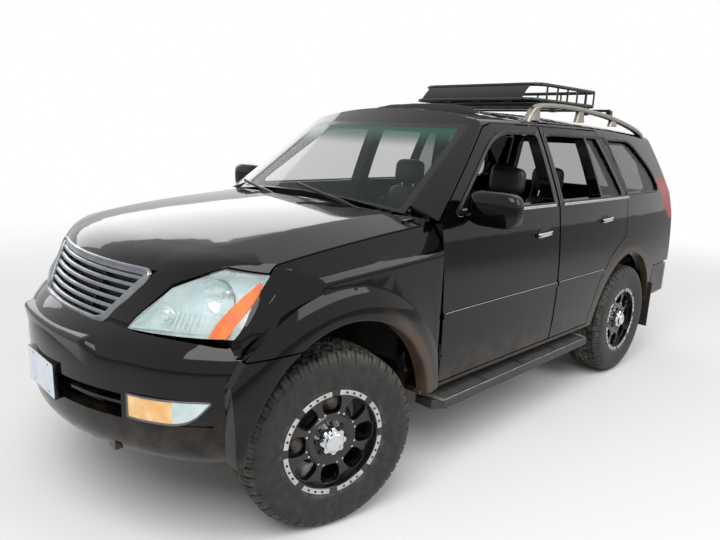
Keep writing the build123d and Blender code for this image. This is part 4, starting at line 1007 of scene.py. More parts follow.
@dataclass
class Wheels:
    """Tyres with all-terrain tread and eight-spoke rims with bolted lips."""

    radius: float = 0.4005
    crown: float = 0.0035
    pitches: int = 54
    tread_depth: float = 0.0085
    shoulder_depth: float = 0.006
    half_width: float = 0.134
    lip_x: float = 0.1195
    lip_r: float = 0.2235
    lip_half_turn: float = 17.6
    windows: int = 8
    window_at: float = 0.162
    window_half: float = 0.043
    window_square: float = 3.2
    window_steps: int = 64
    disc_in: float = 0.100
    disc_out: float = 0.212

    def tyre(self) -> tuple[Shape, np.ndarray]:
        """Tyre surface: staggered blocks between grooves, on rounded shoulders and a bulged wall.

        Returns:
            The shape, and for each point its share across the tyre and round it.
        """
        wall = [
            (0.108, 0.2325), (0.116, 0.236), (0.121, 0.246), (0.1235, 0.250), (0.1245, 0.258), (0.129, 0.280),
            (0.1325, 0.305), (0.1335, 0.325), (0.132, 0.345), (0.1285, 0.358), (0.1255, 0.3645),
        ]
        shoulder = [
            (0.125, 0.3655), (0.1205, 0.3755), (0.113, 0.3855), (0.104, 0.3925), (0.094, 0.3965),
            (0.0935, 0.3967),
        ]
        tread_x = np.array([0.087, 0.0865, 0.062, 0.0615, 0.0535, 0.053, 0.021, 0.0205, 0.0125, 0.012])
        tread_r = self.radius - self.crown * (tread_x / 0.1) ** 2 - 0.0004
        half = np.concatenate([wall, shoulder, np.stack([tread_x, tread_r], -1)])
        profile = np.concatenate([half, (half * (-1.0, 1.0))[::-1]])
        rows = len(profile)
        raised = np.repeat([0.0, 1.0, 0.0, 1.0, 0.0, 1.0, 0.0, 1.0], [len(wall), 5, 2, 2, 2, 2, 2, 1])
        rise = np.concatenate([raised, raised[::-1]])[:, None]
        lane = np.repeat([0, 1, 2, 3], [len(wall) + len(shoulder), 4, 4, 2])
        lanes = np.concatenate([lane, 7 - lane[::-1]])
        steps, up = np.array([
            (0.0, 0.0), (0.015, 1.0), (0.03, 1.0), (0.20, 1.0), (0.36, 1.0), (0.375, 0.55), (0.40, 0.55),
            (0.415, 1.0), (0.60, 1.0), (0.78, 1.0), (0.80, 1.0), (0.83, 0.0), (0.88, 0.0), (0.94, 0.0),
        ]).T
        turn = (np.arange(self.pitches)[:, None] + steps[None, :]).ravel() / self.pitches
        block = np.tile(up, self.pitches)[None, :]
        offset = np.array([0.0, 0.42, 0.1, 0.6, 0.2, 0.7, 0.38, 0.85])[lanes] / self.pitches
        slant = profile[:, 0] * 0.10 / self.pitches / 0.02
        angle = 2 * math.pi * (turn[None, :] + (offset + slant)[:, None])
        lug = np.tile(np.repeat([1.0, 0.45], len(steps)), self.pitches // 2)[None, :]
        from_bead = np.minimum(np.arange(rows), rows - 1 - np.arange(rows))[:, None]
        cut = (1.0 - rise * block) * (from_bead >= len(wall)) * self.tread_depth
        at_shoulder = np.isin(from_bead, (len(wall) - 1, len(wall)))
        cut = np.where(at_shoulder, (1.0 - block * lug) * self.shoulder_depth, cut)
        reach = profile[:, 1:] - cut
        along = np.broadcast_to(profile[:, :1], reach.shape)
        grid = np.stack([along, reach * np.cos(angle), reach * np.sin(angle)], -1)
        ring = np.concatenate([grid, grid[:1]])
        across = np.broadcast_to((profile[:, :1] + self.half_width) / (2 * self.half_width), reach.shape)
        spread = np.stack([across, np.broadcast_to(turn, reach.shape)], -1)
        spread = np.concatenate([spread, spread[:1]]).reshape(-1, 2)
        return skin(ring, wrap=True), spread

    def barrel(self) -> Shape:
        """Rim barrel with bead seats, closed round its section.

        Returns:
            The barrel, about the wheel's own middle.
        """
        outer = [
            (-0.106, 0.2320), (-0.112, 0.240), (-0.116, 0.240), (-0.117, 0.224), (-0.100, 0.214),
            (0.060, 0.211), (0.086, 0.212), (0.098, 0.210), (0.1175, 0.2095), (0.1195, 0.2115),
            (0.1195, 0.2345), (0.1175, 0.2400), (0.112, 0.2400), (0.1075, 0.2325), (-0.106, 0.2320),
        ]
        return lathe(outer, 96)

    def face(self) -> Shape:
        """Spoked disc: eight sectors, each a grid between its own edge and its round-cornered window.

        Returns:
            The disc, about the wheel's own middle.
        """
        never = 9.0
        away = circle(1.0, self.window_steps)
        square = self.window_square
        reach = self.window_half * (np.abs(away) ** square).sum(axis=1) ** (-1 / square)
        centre = np.array([self.window_at, 0.0])
        window = centre + away * reach[:, None]
        half = math.pi / self.windows
        flat = np.array([-math.sin(half), math.cos(half)])
        to_line = []
        for way in (1.0, -1.0):
            slope = away @ (flat * (1.0, way))
            distance = -(centre @ flat) / np.where(slope > 1e-6, slope, 1.0)
            to_line.append(np.where((slope > 1e-6) & (distance > 0), distance, never))
        along = away @ centre
        far = -along + np.sqrt(along ** 2 - self.window_at ** 2 + self.disc_out ** 2)
        gap = along ** 2 - self.window_at ** 2 + self.disc_in ** 2
        near = np.where((gap > 0) & (along < 0), -along - np.sqrt(np.maximum(gap, 0.0)), never)
        limit = np.minimum.reduce([far, near, *to_line])
        sector = centre + away * limit[:, None]
        rows = (
            (1.0, 0.062), (1.0, 0.088), (0.35, 0.089), (0.08, 0.0875), (0.0, 0.083), (0.0, 0.058),
            (1.0, 0.062),
        )
        grid = np.stack([
            np.insert(window + (sector - window) * share, 0, x, axis=1) for share, x in rows
        ])
        one = skin(grid, wrap=True)
        return join([one.turned("X", index * 2 * half) for index in range(self.windows)])

    def lip_segments(self) -> Shape:
        """Machined lip pieces, each a curved bar over twice the half turn in degrees.

        Returns:
            All of them, one between each two spokes.
        """
        arc = np.linspace(-1.0, 1.0, 17) * math.radians(self.lip_half_turn)
        ring = (self.lip_r * np.cos(arc), self.lip_r * np.sin(arc))
        path = np.stack([np.full_like(arc, self.lip_x), *ring], -1)
        one = sweep(path, bar(0.0215, 0.0050, 0.0012), up=(1.0, 0.0, 0.0))
        step = 2 * math.pi / self.windows
        return join([one.turned("X", (index + 0.5) * step) for index in range(self.windows)])

    def studs(self, at: float, angles: Sequence[float], x: float, radius: float, height: float) -> Shape:
        """Round-headed bolts on a circle, whose heads narrow to a share of their size.

        Args:
            at: distance from the wheel's axis.
            angles: where they stand round it.
            x: place along the axis.
            radius: of a head.
            height: of a head.

        Returns:
            All the bolts.
        """
        narrow = 0.55
        head = lathe([
            (0.0, radius), (height * narrow, radius), (height, radius * narrow), (height + 0.0002, 0.0004)
        ], 10)
        return join([head.moved(x, at, 0.0).turned("X", angle) for angle in angles])

    def cap(self) -> Shape:
        """Centre cap with eight round lobes and a domed middle.

        Returns:
            The cap, about the wheel's own middle.
        """
        turn = np.arange(128) * 2 * math.pi / 128
        lobes = 1.0 + 0.09 * np.tanh(2.4 * np.cos(8 * turn))
        x, radius, share = np.array([
            (0.092, 0.058, 1.0), (0.110, 0.058, 1.0), (0.116, 0.054, 1.0), (0.118, 0.047, 0.8),
            (0.1175, 0.043, 0.2), (0.119, 0.042, 0.0), (0.1285, 0.041, 0.0), (0.1310, 0.038, 0.0),
            (0.1318, 0.030, 0.0), (0.1290, 0.0285, 0.0), (0.1290, 0.012, 0.0), (0.1300, TIP, 0.0),
        ]).T[:, :, None]
        reach = radius * (1 + (lobes - 1) * share)
        grid = np.stack([np.broadcast_to(x, reach.shape), reach * np.cos(turn), reach * np.sin(turn)], -1)
        return skin(grid, wrap=True, caps=True)

    def place(self, shape: Shape, left: bool, front: bool) -> Shape:
        """Stand a piece at its corner, as the construction does.

        Args:
            shape: the piece, about the wheel's own middle.
            left: whether it goes to the left side.
            front: whether it goes to the front axle, and is steered.

        Returns:
            The piece at its corner.
        """
        placed = shape if left else shape.mirrored()
        side = 1.0 if left else -1.0
        axle = FRONT_AXLE if front else REAR_AXLE
        placed = placed.moved(side * HALF_TRACK, axle, HUB)
        return placed.turned("Z", STEERED, (side * KINGPIN, axle, HUB)) if front else placed

    def build(self, kit: Kit) -> None:
        """Make the four wheels.

        Args:
            kit: adds the pieces.
        """
        tyre, spread = self.tyre()
        step = 2 * math.pi / self.windows
        rivet_at = [index * step + step / 2 + way * 0.115 for index in range(self.windows) for way in (1, -1)]
        bolt_at = [(index + 0.5) * step + way * 0.155 for index in range(self.windows) for way in (-1, 0, 1)]
        nut_at = [index * step for index in range(6)]
        hub = lathe([
            (0.058, TIP), (0.058, 0.113), (0.088, 0.113), (0.0925, 0.109), (0.0925, 0.084),
            (0.0900, 0.081), (0.0900, TIP),
        ], 64)
        disc = lathe([
            (-0.034, TIP), (-0.034, 0.150), (-0.030, 0.156), (-0.012, 0.156), (-0.008, 0.150),
            (-0.008, 0.082), (0.020, 0.078), (0.020, TIP),
        ], 64)
        boss = lathe([(-0.0395, TIP), (-0.0395, 0.074), (0.060, 0.074), (0.060, TIP)], 40)
        pieces = (
            ("rim_lip", self.lip_segments(), Look.MACHINED, 35),
            ("rim_bolts", self.studs(self.lip_r, bolt_at, 0.1215, 0.0056, 0.0032), Look.BOLT_BLACK, 35),
            ("rim_rivets", self.studs(0.119, rivet_at, 0.0885, 0.0046, 0.0030), Look.CHROME, 35),
            ("rim_nuts", self.studs(0.070, nut_at, 0.0895, 0.0095, 0.008), Look.BOLT_BLACK, 35),
            ("rim_cap", self.cap(), Look.CHROME, 30),
            ("brake_disc", join([disc, boss]), Look.BRAKE_STEEL, 40),
        )
        wheel = join([self.barrel(), self.face(), hub])
        for side in ("left", "right"):
            for end in ("front", "rear"):
                tag = f"{end}_{side}"
                body = f"wheel_{tag}"
                corner = (side == "left", end == "front")
                tread = self.place(tyre, *corner)
                node = f"tyre_{tag}"
                kit.add(f"tyre_tread_{tag}", tread, Look.TYRE, body, 30, replaces=[node], spread=spread)
                rim = self.place(wheel, *corner)
                kit.add(f"rim_disc_{tag}", rim, Look.WHEEL_BLACK, body, 40, replaces=[f"rim_{tag}"])
                for name, shape, look, crease in pieces:
                    kit.add(f"{name}_{tag}", self.place(shape, *corner), look, body, crease)


@dataclass
class FrontEnd:
    """Grille, lamps, plate and the bumper's trim."""

    nose: Nose
    bumper: Bumper
    louvres: int = 6
    frame_width: float = 0.034
    frame_depth: float = 0.030
    mouth_z: tuple = (0.904, 1.132)
    mouth_half: tuple = (0.312, 0.474)
    blade_z: tuple = (0.928, 1.108)
    edge_y: float = -2.370
    edge_bow: float = 0.24
    ledge_half: float = 0.425
    ledge_fade: float = 0.105

    def mouth(self, z: np.ndarray) -> np.ndarray:
        """Half width of the grille's opening at a height."""
        (low, high), (narrow, wide) = self.mouth_z, self.mouth_half
        return narrow + (z - low) / (high - low) * (wide - narrow)

    def before(self, x: np.ndarray, z: np.ndarray, back: float) -> np.ndarray:
        """Points behind the nose's surface by a distance, at places across and heights."""
        x, z = np.broadcast_arrays(x, z)
        return np.stack([x, self.nose.face(x, z) + back, z], -1)

    def grille(self, kit: Kit) -> None:
        """Frame and louvres that follow the nose, over a dark ribbed back.

        Args:
            kit: adds the pieces.
        """
        (low, high), (narrow, wide) = self.mouth_z, self.mouth_half
        inner = np.array([
            (wide - 0.020, high - 0.012), (narrow - 0.012, low + 0.012),
            (0.012 - narrow, low + 0.012), (0.020 - wide, high - 0.012),
        ])
        path = self.nose.over(finer(rounded(inner, 0.045, 7), 6), -0.010)
        frame = sweep(path, bar(self.frame_width, self.frame_depth, 0.008, 5), up=(0, -1, 0), closed=True)
        kit.add("grille_frame", frame, Look.SATIN_CHROME, "bonnet", 50, replaces=["grille"])
        section = np.array([
            (-0.0055, -0.017), (-0.0075, -0.010), (-0.0078, 0.002), (-0.0060, 0.009), (-0.0020, 0.0125),
            (0.0020, 0.0125), (0.0050, 0.009), (0.0062, 0.002), (0.0050, -0.010), (0.0030, -0.017),
        ]) * (1.35, 1.0)
        blades = []
        bottom, top = self.blade_z
        for row in range(self.louvres):
            z = bottom + (top - bottom) * (row + 0.5) / self.louvres
            half = self.mouth(z) - 0.026
            blades.append(sweep(self.before(np.linspace(-half, half, 49), z, 0.016), section, up=(0, -1, 0)))
        kit.add("grille_louvres", join(blades), Look.SATIN_CHROME, "bonnet", 50)
        share, z = np.meshgrid(np.linspace(-1.0, 1.0, 45), np.linspace(0.915, 1.122, 19))
        back = self.before(share * (self.mouth(z) - 0.012), z, 0.048)
        kit.add("grille_back", sheet(back, back + (0, 0.010, 0)), Look.GRILLE_DARK, "bonnet")
        z = np.linspace(0.925, 1.11, 12)
        section = bar(0.008, 0.020, 0.002)
        ribs = [sweep(self.before(x, z, 0.034), section, up=(0, -1, 0)) for x in (-0.17, 0.17)]
        kit.add("grille_ribs", join(ribs), Look.GRILLE_DARK, "bonnet")

    def ledge(self, kit: Kit) -> None:
        """Shoulder of the bumper under the grille: it swells from the bumper's face up to an edge.

        Each row has a share of the way out to the edge, a distance behind it and a height. Towards its
        ends the shoulder sinks into the bumper.

        Args:
            kit: adds the pieces.
        """
        rows = curve([
            (0.0, 0.0, 0.715), (0.22, 0.0, 0.755), (0.62, 0.0, 0.800), (0.93, 0.0, 0.840),
            (1.0, 0.002, 0.856), (1.0, 0.010, 0.867), (1.0, 0.030, 0.873), (1.0, 0.100, 0.886),
            (1.0, 0.185, 0.902),
        ], 5)
        share, behind, height = (rows[:, column][:, None] for column in range(3))
        x = np.linspace(-0.43, 0.43, 87)[None]
        hold = np.clip((self.ledge_half - np.abs(x)) / self.ledge_fade, 0, 1)
        hold = hold * hold * (3 - 2 * hold)
        z = height - 0.040 * (1 - hold) * np.clip((height - 0.74) / 0.1, 0, 1)
        face = self.bumper.face(x, np.minimum(z, 0.86)) + 0.005
        edge = self.edge_y + self.edge_bow * x ** 2
        y = face + (edge - face) * share * hold + behind
        front = np.stack(np.broadcast_arrays(x, y, z), -1)
        kit.add("bumper_ledge", sheet(front, front + (0, 0.020, -0.030)), Look.PAINT, crease=50)

    def headlamps(self, kit: Kit) -> None:
        """Bowl, projector, ribbed panel and amber strip behind each clear lens.

        Args:
            kit: adds the pieces.
        """
        outline = rounded([
            (0.452, 0.924), (0.568, 1.076), (0.704, 1.150), (0.812, 1.136), (0.842, 1.088), (0.846, 0.932)
        ], 0.012, 3)
        middle = outline.mean(axis=0)
        bowl_rows = (
            (1.0, 0.006), (0.985, 0.050), (0.93, 0.070), (0.85, 0.080), (0.6, 0.088), (0.3, 0.092),
            (0.02, 0.093),
        )
        rows = [self.nose.over(middle + (outline - middle) * share, -depth) for share, depth in bowl_rows]
        kit.pair("lamp_house", skin(np.stack(rows), wrap=True), Look.LAMP_INNER, crease=60)
        bowl = lathe([
            (0.0, TIP), (0.004, 0.030), (0.016, 0.052), (0.034, 0.066), (0.036, 0.068), (0.030, 0.068),
            (-0.002, 0.034), (-0.004, TIP),
        ], 48)
        bulb = lathe([(0.0, TIP), (0.0, 0.012), (0.022, 0.012), (0.030, 0.008), (0.032, TIP)], 24)
        eye = lathe([
            (-0.01, TIP), (-0.01, 0.036), (0.020, 0.038), (0.026, 0.034), (0.026, 0.030), (0.020, 0.029),
            (0.034, 0.018), (0.038, TIP),
        ], 40).sized(1, 0.9, 0.9)
        aim = -math.pi / 2 + 0.35
        bowl_at = self.before(0.700, 1.062, 0.066)
        kit.pair("lamp_bowl", bowl.turned("Z", aim).moved(*bowl_at), Look.BOWL)
        kit.pair("lamp_bulb", bulb.turned("Z", aim).moved(*bowl_at), Look.CHROME)
        kit.pair("lamp_eye", eye.turned("Z", aim + 0.1).moved(*self.before(0.560, 0.985, 0.050)), Look.BOWL)
        z = np.linspace(0.936, 0.992, 6)
        ribs = [
            sweep(self.before(0.600 + index * 0.018, z, 0.044), bar(0.010, 0.012, 0.004), up=(0, -1, 0))
            for index in range(9)
        ]
        kit.pair("lamp_ribs", join(ribs), Look.BOWL)
        low_edge = curve([(0.762, 0.931), (0.768, 1.000), (0.783, 1.058), (0.803, 1.112)], 8)
        high_edge = curve([(0.811, 0.931), (0.817, 1.000), (0.818, 1.060), (0.812, 1.114)], 8)
        share = np.linspace(0, 1, 7)[:, None, None]
        patch = low_edge[None] * (1 - share) + high_edge[None] * share
        proud = 0.0060 + 0.0090 * np.clip((1.06 - patch[..., 1]) / 0.08, 0, 1)
        front = self.before(patch[..., 0], patch[..., 1], -proud)
        kit.pair("lamp_amber", sheet(front, front + (0, 0.008, 0)), Look.AMBER)

    def fog_lamps(self, kit: Kit) -> None:
        """Warm reflector, clear outer end and a bright rim on the bumper at each fog lamp, standing for its
        lens, with a housing wall behind.

        Args:
            kit: adds the pieces.
        """
        corners = [(0.533, 0.603), (0.748, 0.603), (0.809, 0.697), (0.533, 0.697)]
        outline = finer(rounded(corners, (0.008, 0.055, 0.010, 0.008), 7), 4)
        middle = np.array([0.660, 0.650])
        parts = ((0.531, 0.700, Look.FOG_AMBER, "warm"), (0.700, 0.812, Look.BOWL, "clear"))
        for low, high, look, name in parts:
            rings = [middle + (outline - middle) * share for share in (1.0, 0.8, 0.5, 0.2, 0.01)]
            held = [np.column_stack([np.clip(ring[:, 0], low, high), ring[:, 1]]) for ring in rings]
            panel = skin(np.stack([self.bumper.over(ring, 0.001) for ring in held]), wrap=True)
            kit.pair(f"fog_{name}", panel, look, replaces=["fog_lamps"] if name == "warm" else ())
        rim = sweep(self.bumper.over(outline, 0.001), bar(0.007, 0.008, 0.002), up=(0, -1, 0), closed=True)
        kit.pair("fog_rim", rim, Look.FRAME_GREY)
        x, z = np.meshgrid(np.linspace(0.530, 0.813, 24), np.linspace(0.6005, 0.6995, 10))
        wall = np.stack([x, self.bumper.face(x, z) + 0.004, z], -1)
        kit.pair("fog_housing", sheet(wall, wall + (0, 0.05, 0)), Look.PAINT)

    def plate(self, kit: Kit) -> None:
        """Blank plate with round corners and four bolt heads.

        Args:
            kit: adds the pieces.
        """
        outline = rounded([(-0.150, 0.574), (0.150, 0.574), (0.150, 0.722), (-0.150, 0.722)], 0.012, 5)
        kit.add("plate_blank", slab(outline, -2.3885, -2.3862, 1), Look.PLATE)
        bolts = [(x, z) for x in (-0.09, 0.09) for z in (0.706, 0.590)]
        head = lathe([(0.0, TIP), (0.0, 0.005), (0.0012, 0.005), (0.0020, TIP)], 12)
        head = head.turned("Z", -math.pi / 2)
        kit.add("plate_bolts", join([head.moved(x, -2.3878, z) for x, z in bolts]), Look.BOLT_BLACK)

    def intake(self, kit: Kit) -> None:
        """Dark mesh wall behind the lower intake."""
        kit.add("intake_mesh", box((1.0, 0.006, 0.10), (0.0, -2.196, 0.641)), Look.GRILLE_DARK)

    def build(self, kit: Kit) -> None:
        """Make the front end's pieces.

        Args:
            kit: adds the pieces.
        """
        self.grille(kit)
        self.ledge(kit)
        self.headlamps(kit)
        self.fog_lamps(kit)
        self.plate(kit)
        self.intake(kit)


@dataclass
class SideTrim:
    """Window frames, belt strips, handles, side strips and mirrors."""

    cabin: Cabin
    grip_x: float = 0.916
    mirror_back: float = -0.618
    window_foot: float = 1.312
    belt_z: float = 1.3055
    division_y: float = 0.824
    strip_z: float = 0.8395

    def strip(
        self, outline: Sequence, width: float, height: float, proud: float, closed: bool = False,
        bends: float | Sequence = 0.03,
    ) -> Shape:
        """Bar that follows the cabin's skin along an outline of (y, z), with bends if it is closed.

        Args:
            outline: pairs of (y, z).
            width: extent across the outline.
            height: extent out from the skin.
            proud: how far its middle stands off the skin.
            closed: whether it is a ring.
            bends: distance cut back at the corners of a ring, one or one each.

        Returns:
            The bar on the left side.
        """
        line = np.asarray(outline, dtype=float)
        if closed:
            line = finer(rounded(line, bends, 7), 4)
        path = self.cabin.along(line, proud)
        return sweep(path, bar(width, height, min(width, height) * 0.3, 3), up=(1, 0, 0), closed=closed)

    def frames(self, kit: Kit) -> None:
        """Satin grey frames round each door window and the quarter glass, chrome belt strips, and satin black
        pillar panels and window division.

        Args:
            kit: adds the pieces.
        """
        foot = self.window_foot
        front = [(-0.744, foot), (-0.238, 1.708), (0.211, 1.714), (0.211, foot)]
        rear = [(0.292, foot), (0.292, 1.714), (1.165, 1.706), (1.262, foot)]
        for name, outline, bends in (
            ("front", front, (0.02, 0.16, 0.04, 0.02)), ("rear", rear, (0.02, 0.03, 0.06, 0.03)),
        ):
            frame = self.strip(outline, 0.024, 0.007, 0.001, True, bends)
            kit.pair(f"window_frame_{name}", frame, Look.WINDOW_FRAME, DOORS[name])
            ends = np.array(outline)[:, 0]
            y = np.linspace(ends.min() + 0.01, ends.max() - 0.004, 24)
            belt = self.strip(np.stack([y, np.full_like(y, self.belt_z)], -1), 0.016, 0.010, 0.002)
            kit.pair(f"belt_strip_{name}", belt, Look.CHROME, DOORS[name])
        division = [(self.division_y, z) for z in (1.322, 1.45, 1.58, 1.698)]
        division = self.strip(division, 0.022, 0.006, 0.001)
        kit.pair("window_division", division, Look.PILLAR_BLACK, DOORS["rear"])
        for name, low, high in (("front", 0.214, 0.240), ("rear", 0.262, 0.289)):
            z = np.linspace(foot, 1.728, 14)
            panel = self.strip(np.stack([np.full_like(z, (low + high) / 2), z], -1), high - low, 0.003, 0.001)
            kit.pair(f"pillar_panel_{name}", panel, Look.PILLAR_BLACK, DOORS[name])
        quarter = [(1.258, 1.320), (1.106, 1.698), (1.604, 1.690), (1.896, 1.452), (1.926, 1.320)]
        seal = self.strip(quarter, 0.016, 0.006, 0.0, True, (0.04, 0.05, 0.10, 0.10, 0.05))
        kit.pair("quarter_seal", seal, Look.WINDOW_FRAME)

    def handles(self, kit: Kit) -> None:
        """Bright pull handles over dark cups.

        Args:
            kit: adds the pieces.
        """
        oval = circle(1.0, 40) * (0.052, 0.030)
        share = np.linspace(-1, 1, 25)
        for name, y, z in (("front", 0.045, 1.149), ("rear", 0.863, 1.175)):
            rings = [self.cabin.along(oval * size + (y, z), 0.0022) for size in (1.0, 0.9, 0.6, 0.02)]
            kit.pair(f"handle_cup_{name}", skin(np.stack(rings), wrap=True), Look.GRILLE_DARK, DOORS[name])
            path = np.stack([self.grip_x - 0.006 * share ** 2, y + share * 0.077, z + share * 0.003], -1)
            grip = sweep(path, bar(0.026, 0.0215, 0.009, 5), up=(1, 0, 0))
            kit.pair(f"handle_grip_{name}", grip, Look.CHROME, DOORS[name])

    def strips(self, kit: Kit) -> None:
        """Thin bright edge along the top of each side strip.

        Args:
            kit: adds the pieces.
        """
        for name, low, high in (("front", -0.846, 0.238), ("rear", 0.266, 0.874)):
            y = np.linspace(low, high, 20)
            line = self.strip(np.stack([y, np.full_like(y, self.strip_z)], -1), 0.0035, 0.004, 0.0045)
            kit.pair(f"side_strip_edge_{name}", line, Look.CHROME, DOORS[name])

    def mirrors(self, kit: Kit) -> None:
        """Rounded housings with glass at the back and a dark foot.

        Args:
            kit: adds the pieces.
        """
        house = pillow((0.282, 0.112, 0.172), (1.017, -0.654, 1.3455), 0.55, 64)
        points = house.points.copy()
        points[:, 1] = np.minimum(points[:, 1], self.mirror_back)
        kit.pair("mirror_shell", Shape(points, house.faces), Look.PAINT, DOORS["front"], crease=50)
        arm = curve([
            (0.850, -0.640, 1.300), (0.885, -0.645, 1.300), (0.930, -0.652, 1.318), (0.965, -0.655, 1.330)
        ], 6)
        foot = sweep(arm, bar(0.056, 0.046, 0.016, 5))
        pane = rounded([(0.905, 1.284), (1.135, 1.284), (1.135, 1.406), (0.905, 1.406)], 0.05, 8)
        glass = slab(pane, -0.6168, -0.6145, 1)
        for side, body in zip(("left", "right"), DOORS["front"]):
            kit.add(f"mirror_foot_{side}", foot, Look.PAINT, body, 50, replaces=[f"mirror_{side}"])
            kit.add(f"mirror_glass_{side}", glass, Look.MIRROR, body)
            foot, glass = foot.mirrored(), glass.mirrored()

    def build(self, kit: Kit) -> None:
        """Make the side trim.

        Args:
            kit: adds the pieces.
        """
        self.frames(kit)
        self.handles(kit)
        self.strips(kit)
        self.mirrors(kit)


@dataclass
class Roof:
    """Roof rails on feet, tube basket with its fairing, and the sunroof's deflector."""

    rail_x: float = 0.622
    basket_x: float = 0.500
    basket_y: tuple = (0.460, 1.400)
    hoop_z: tuple = (1.930, 2.030)
    inset: float = 0.012
    lean: float = 0.100
    tube: float = 0.012
    post: float = 0.007

    def rails(self, kit: Kit) -> None:
        """Silver rails bending down to the roof at both ends, with two feet between.

        Args:
            kit: adds the pieces.
        """
        line = curve([
            (0.200, 1.745), (0.245, 1.828), (0.310, 1.868), (0.430, 1.884), (0.76, 1.887), (1.20, 1.864),
            (1.50, 1.830), (1.75, 1.790), (1.90, 1.752), (1.955, 1.722),
        ], 8)
        path = np.column_stack([np.full(len(line), self.rail_x), line])
        parts = [sweep(path, bar(0.030, 0.046, 0.012, 6), up=(1, 0, 0))]
        section = rounded([(-0.016, -0.050), (0.016, -0.050), (0.016, 0.050), (-0.016, 0.050)], 0.012, 4)
        for y, top, low in ((0.30, 1.872, 1.79), (0.88, 1.885, 1.80), (1.40, 1.845, 1.79)):
            grid = np.stack([
                np.insert(section * (1.0, grow) + (self.rail_x, y), 2, z, axis=1)
                for z, grow in ((low, 1.15), (low + 0.03, 0.9), (top - 0.02, 0.72), (top, 0.9))
            ])
            parts.append(skin(grid, wrap=True, caps=True))
        left = join(parts)
        kit.add("roof_rail_pair", join([left, left.mirrored()]), Look.RAIL_SILVER, replaces=["roof_rails"])

    def basket(self, kit: Kit) -> None:
        """Two hoops, uprights, slats and cross bars, with a fairing in front.

        Args:
            kit: adds the pieces.
        """
        low_y, high_y = self.basket_y
        front, back = low_y + self.inset, high_y - self.inset
        half = self.basket_x - self.inset
        floor_z, top_z = self.hoop_z
        tubes = []
        for z, lean in ((floor_z, 0.0), (top_z, self.lean)):
            ends = [(-half, front + lean), (half, front + lean), (half, back), (-half, back)]
            path = np.insert(rounded(ends, 0.085, 9), 2, z, axis=1)
            tubes.append(sweep(path, circle(self.tube, 12), closed=True))
        ends = ((front, self.lean), (back, 0.0))
        posts = [(x, y, lean) for x in (-0.4, -0.2, 0.0, 0.2, 0.4) for y, lean in ends]
        posts += [(x, y, 0.0) for y in (0.66, 0.80, 0.94, 1.08, 1.22, 1.34) for x in (-half, half)]
        for x, y, lean in posts:
            post = run(x, (y, y + lean / 2, y + lean), (floor_z, 1.98, top_z))
            tubes.append(sweep(post, circle(self.post, 8), up=(1, 0, 0)))
        for index in range(5):
            slat = run((-half, 0, half), 0.60 + index * 0.16, 1.924)
            tubes.append(sweep(slat, circle(0.008, 8)))
        for x in (-0.26, 0.0, 0.26):
            tubes.append(sweep(run(x, (front, 0.9, back), 1.921), circle(0.006, 8)))
        for y in (0.56, 1.00, 1.38):
            tubes.append(sweep(run((-0.604, 0, 0.604), y, 1.902), bar(0.030, 0.018, 0.007)))
            tubes += [box((0.034, 0.036, 0.050), (way * 0.600, y, 1.876)) for way in (-1, 1)]
        kit.add("basket_tubes", join(tubes), Look.TUBE_BLACK, "body", 45, replaces=["roof_basket"])
        x = np.linspace(-0.42, 0.42, 33)
        panel = np.stack([
            np.stack(np.broadcast_arrays(x, low_y - 0.004 + lean, z), -1)
            for z, lean in ((1.924, 0.0), (1.95, 0.018), (1.99, 0.058), (2.022, 0.096))
        ])
        kit.add("basket_fairing", sheet(panel, panel + (0.0, 0.004, 0.0)), Look.PAINT)
        top = sweep(run((-0.40, 0, 0.40), front + self.lean, 2.040), bar(0.020, 0.004, 0.0015))
        kit.add("basket_top_bar", top, Look.RAIL_SILVER)

    def deflector(self, kit: Kit) -> None:
        """Low dark wind deflector, bowed over the roof, whose ends come down.

        Args:
            kit: adds the pieces.
        """
        x = np.linspace(-0.52, 0.42, 33)
        crown = 1.842 - 0.05 * (x / 0.66) ** 2
        taper = np.clip(1 - ((x + 0.05) / 0.472) ** 8, 0.05, 1)
        section = (
            (-0.004, -0.0055), (0.016, -0.00415), (0.032, -0.0019), (0.034, -0.0001), (0.016, -0.00055),
            (-0.004, -0.0001),
        )
        grid = [
            np.stack(np.broadcast_arrays(x, y, crown + rise * (taper if rise > 0 else 1.0)), -1)
            for rise, y in section
        ]
        blade = skin(np.stack(grid, axis=1), wrap=True, caps=True)
        kit.add("deflector_blade", blade, Look.DARK_PLASTIC, replaces=["wind_deflector"])

    def build(self, kit: Kit) -> None:
        """Make the roof's pieces.

        Args:
            kit: adds the pieces.
        """
        self.rails(kit)
        self.basket(kit)
        self.deflector(kit)


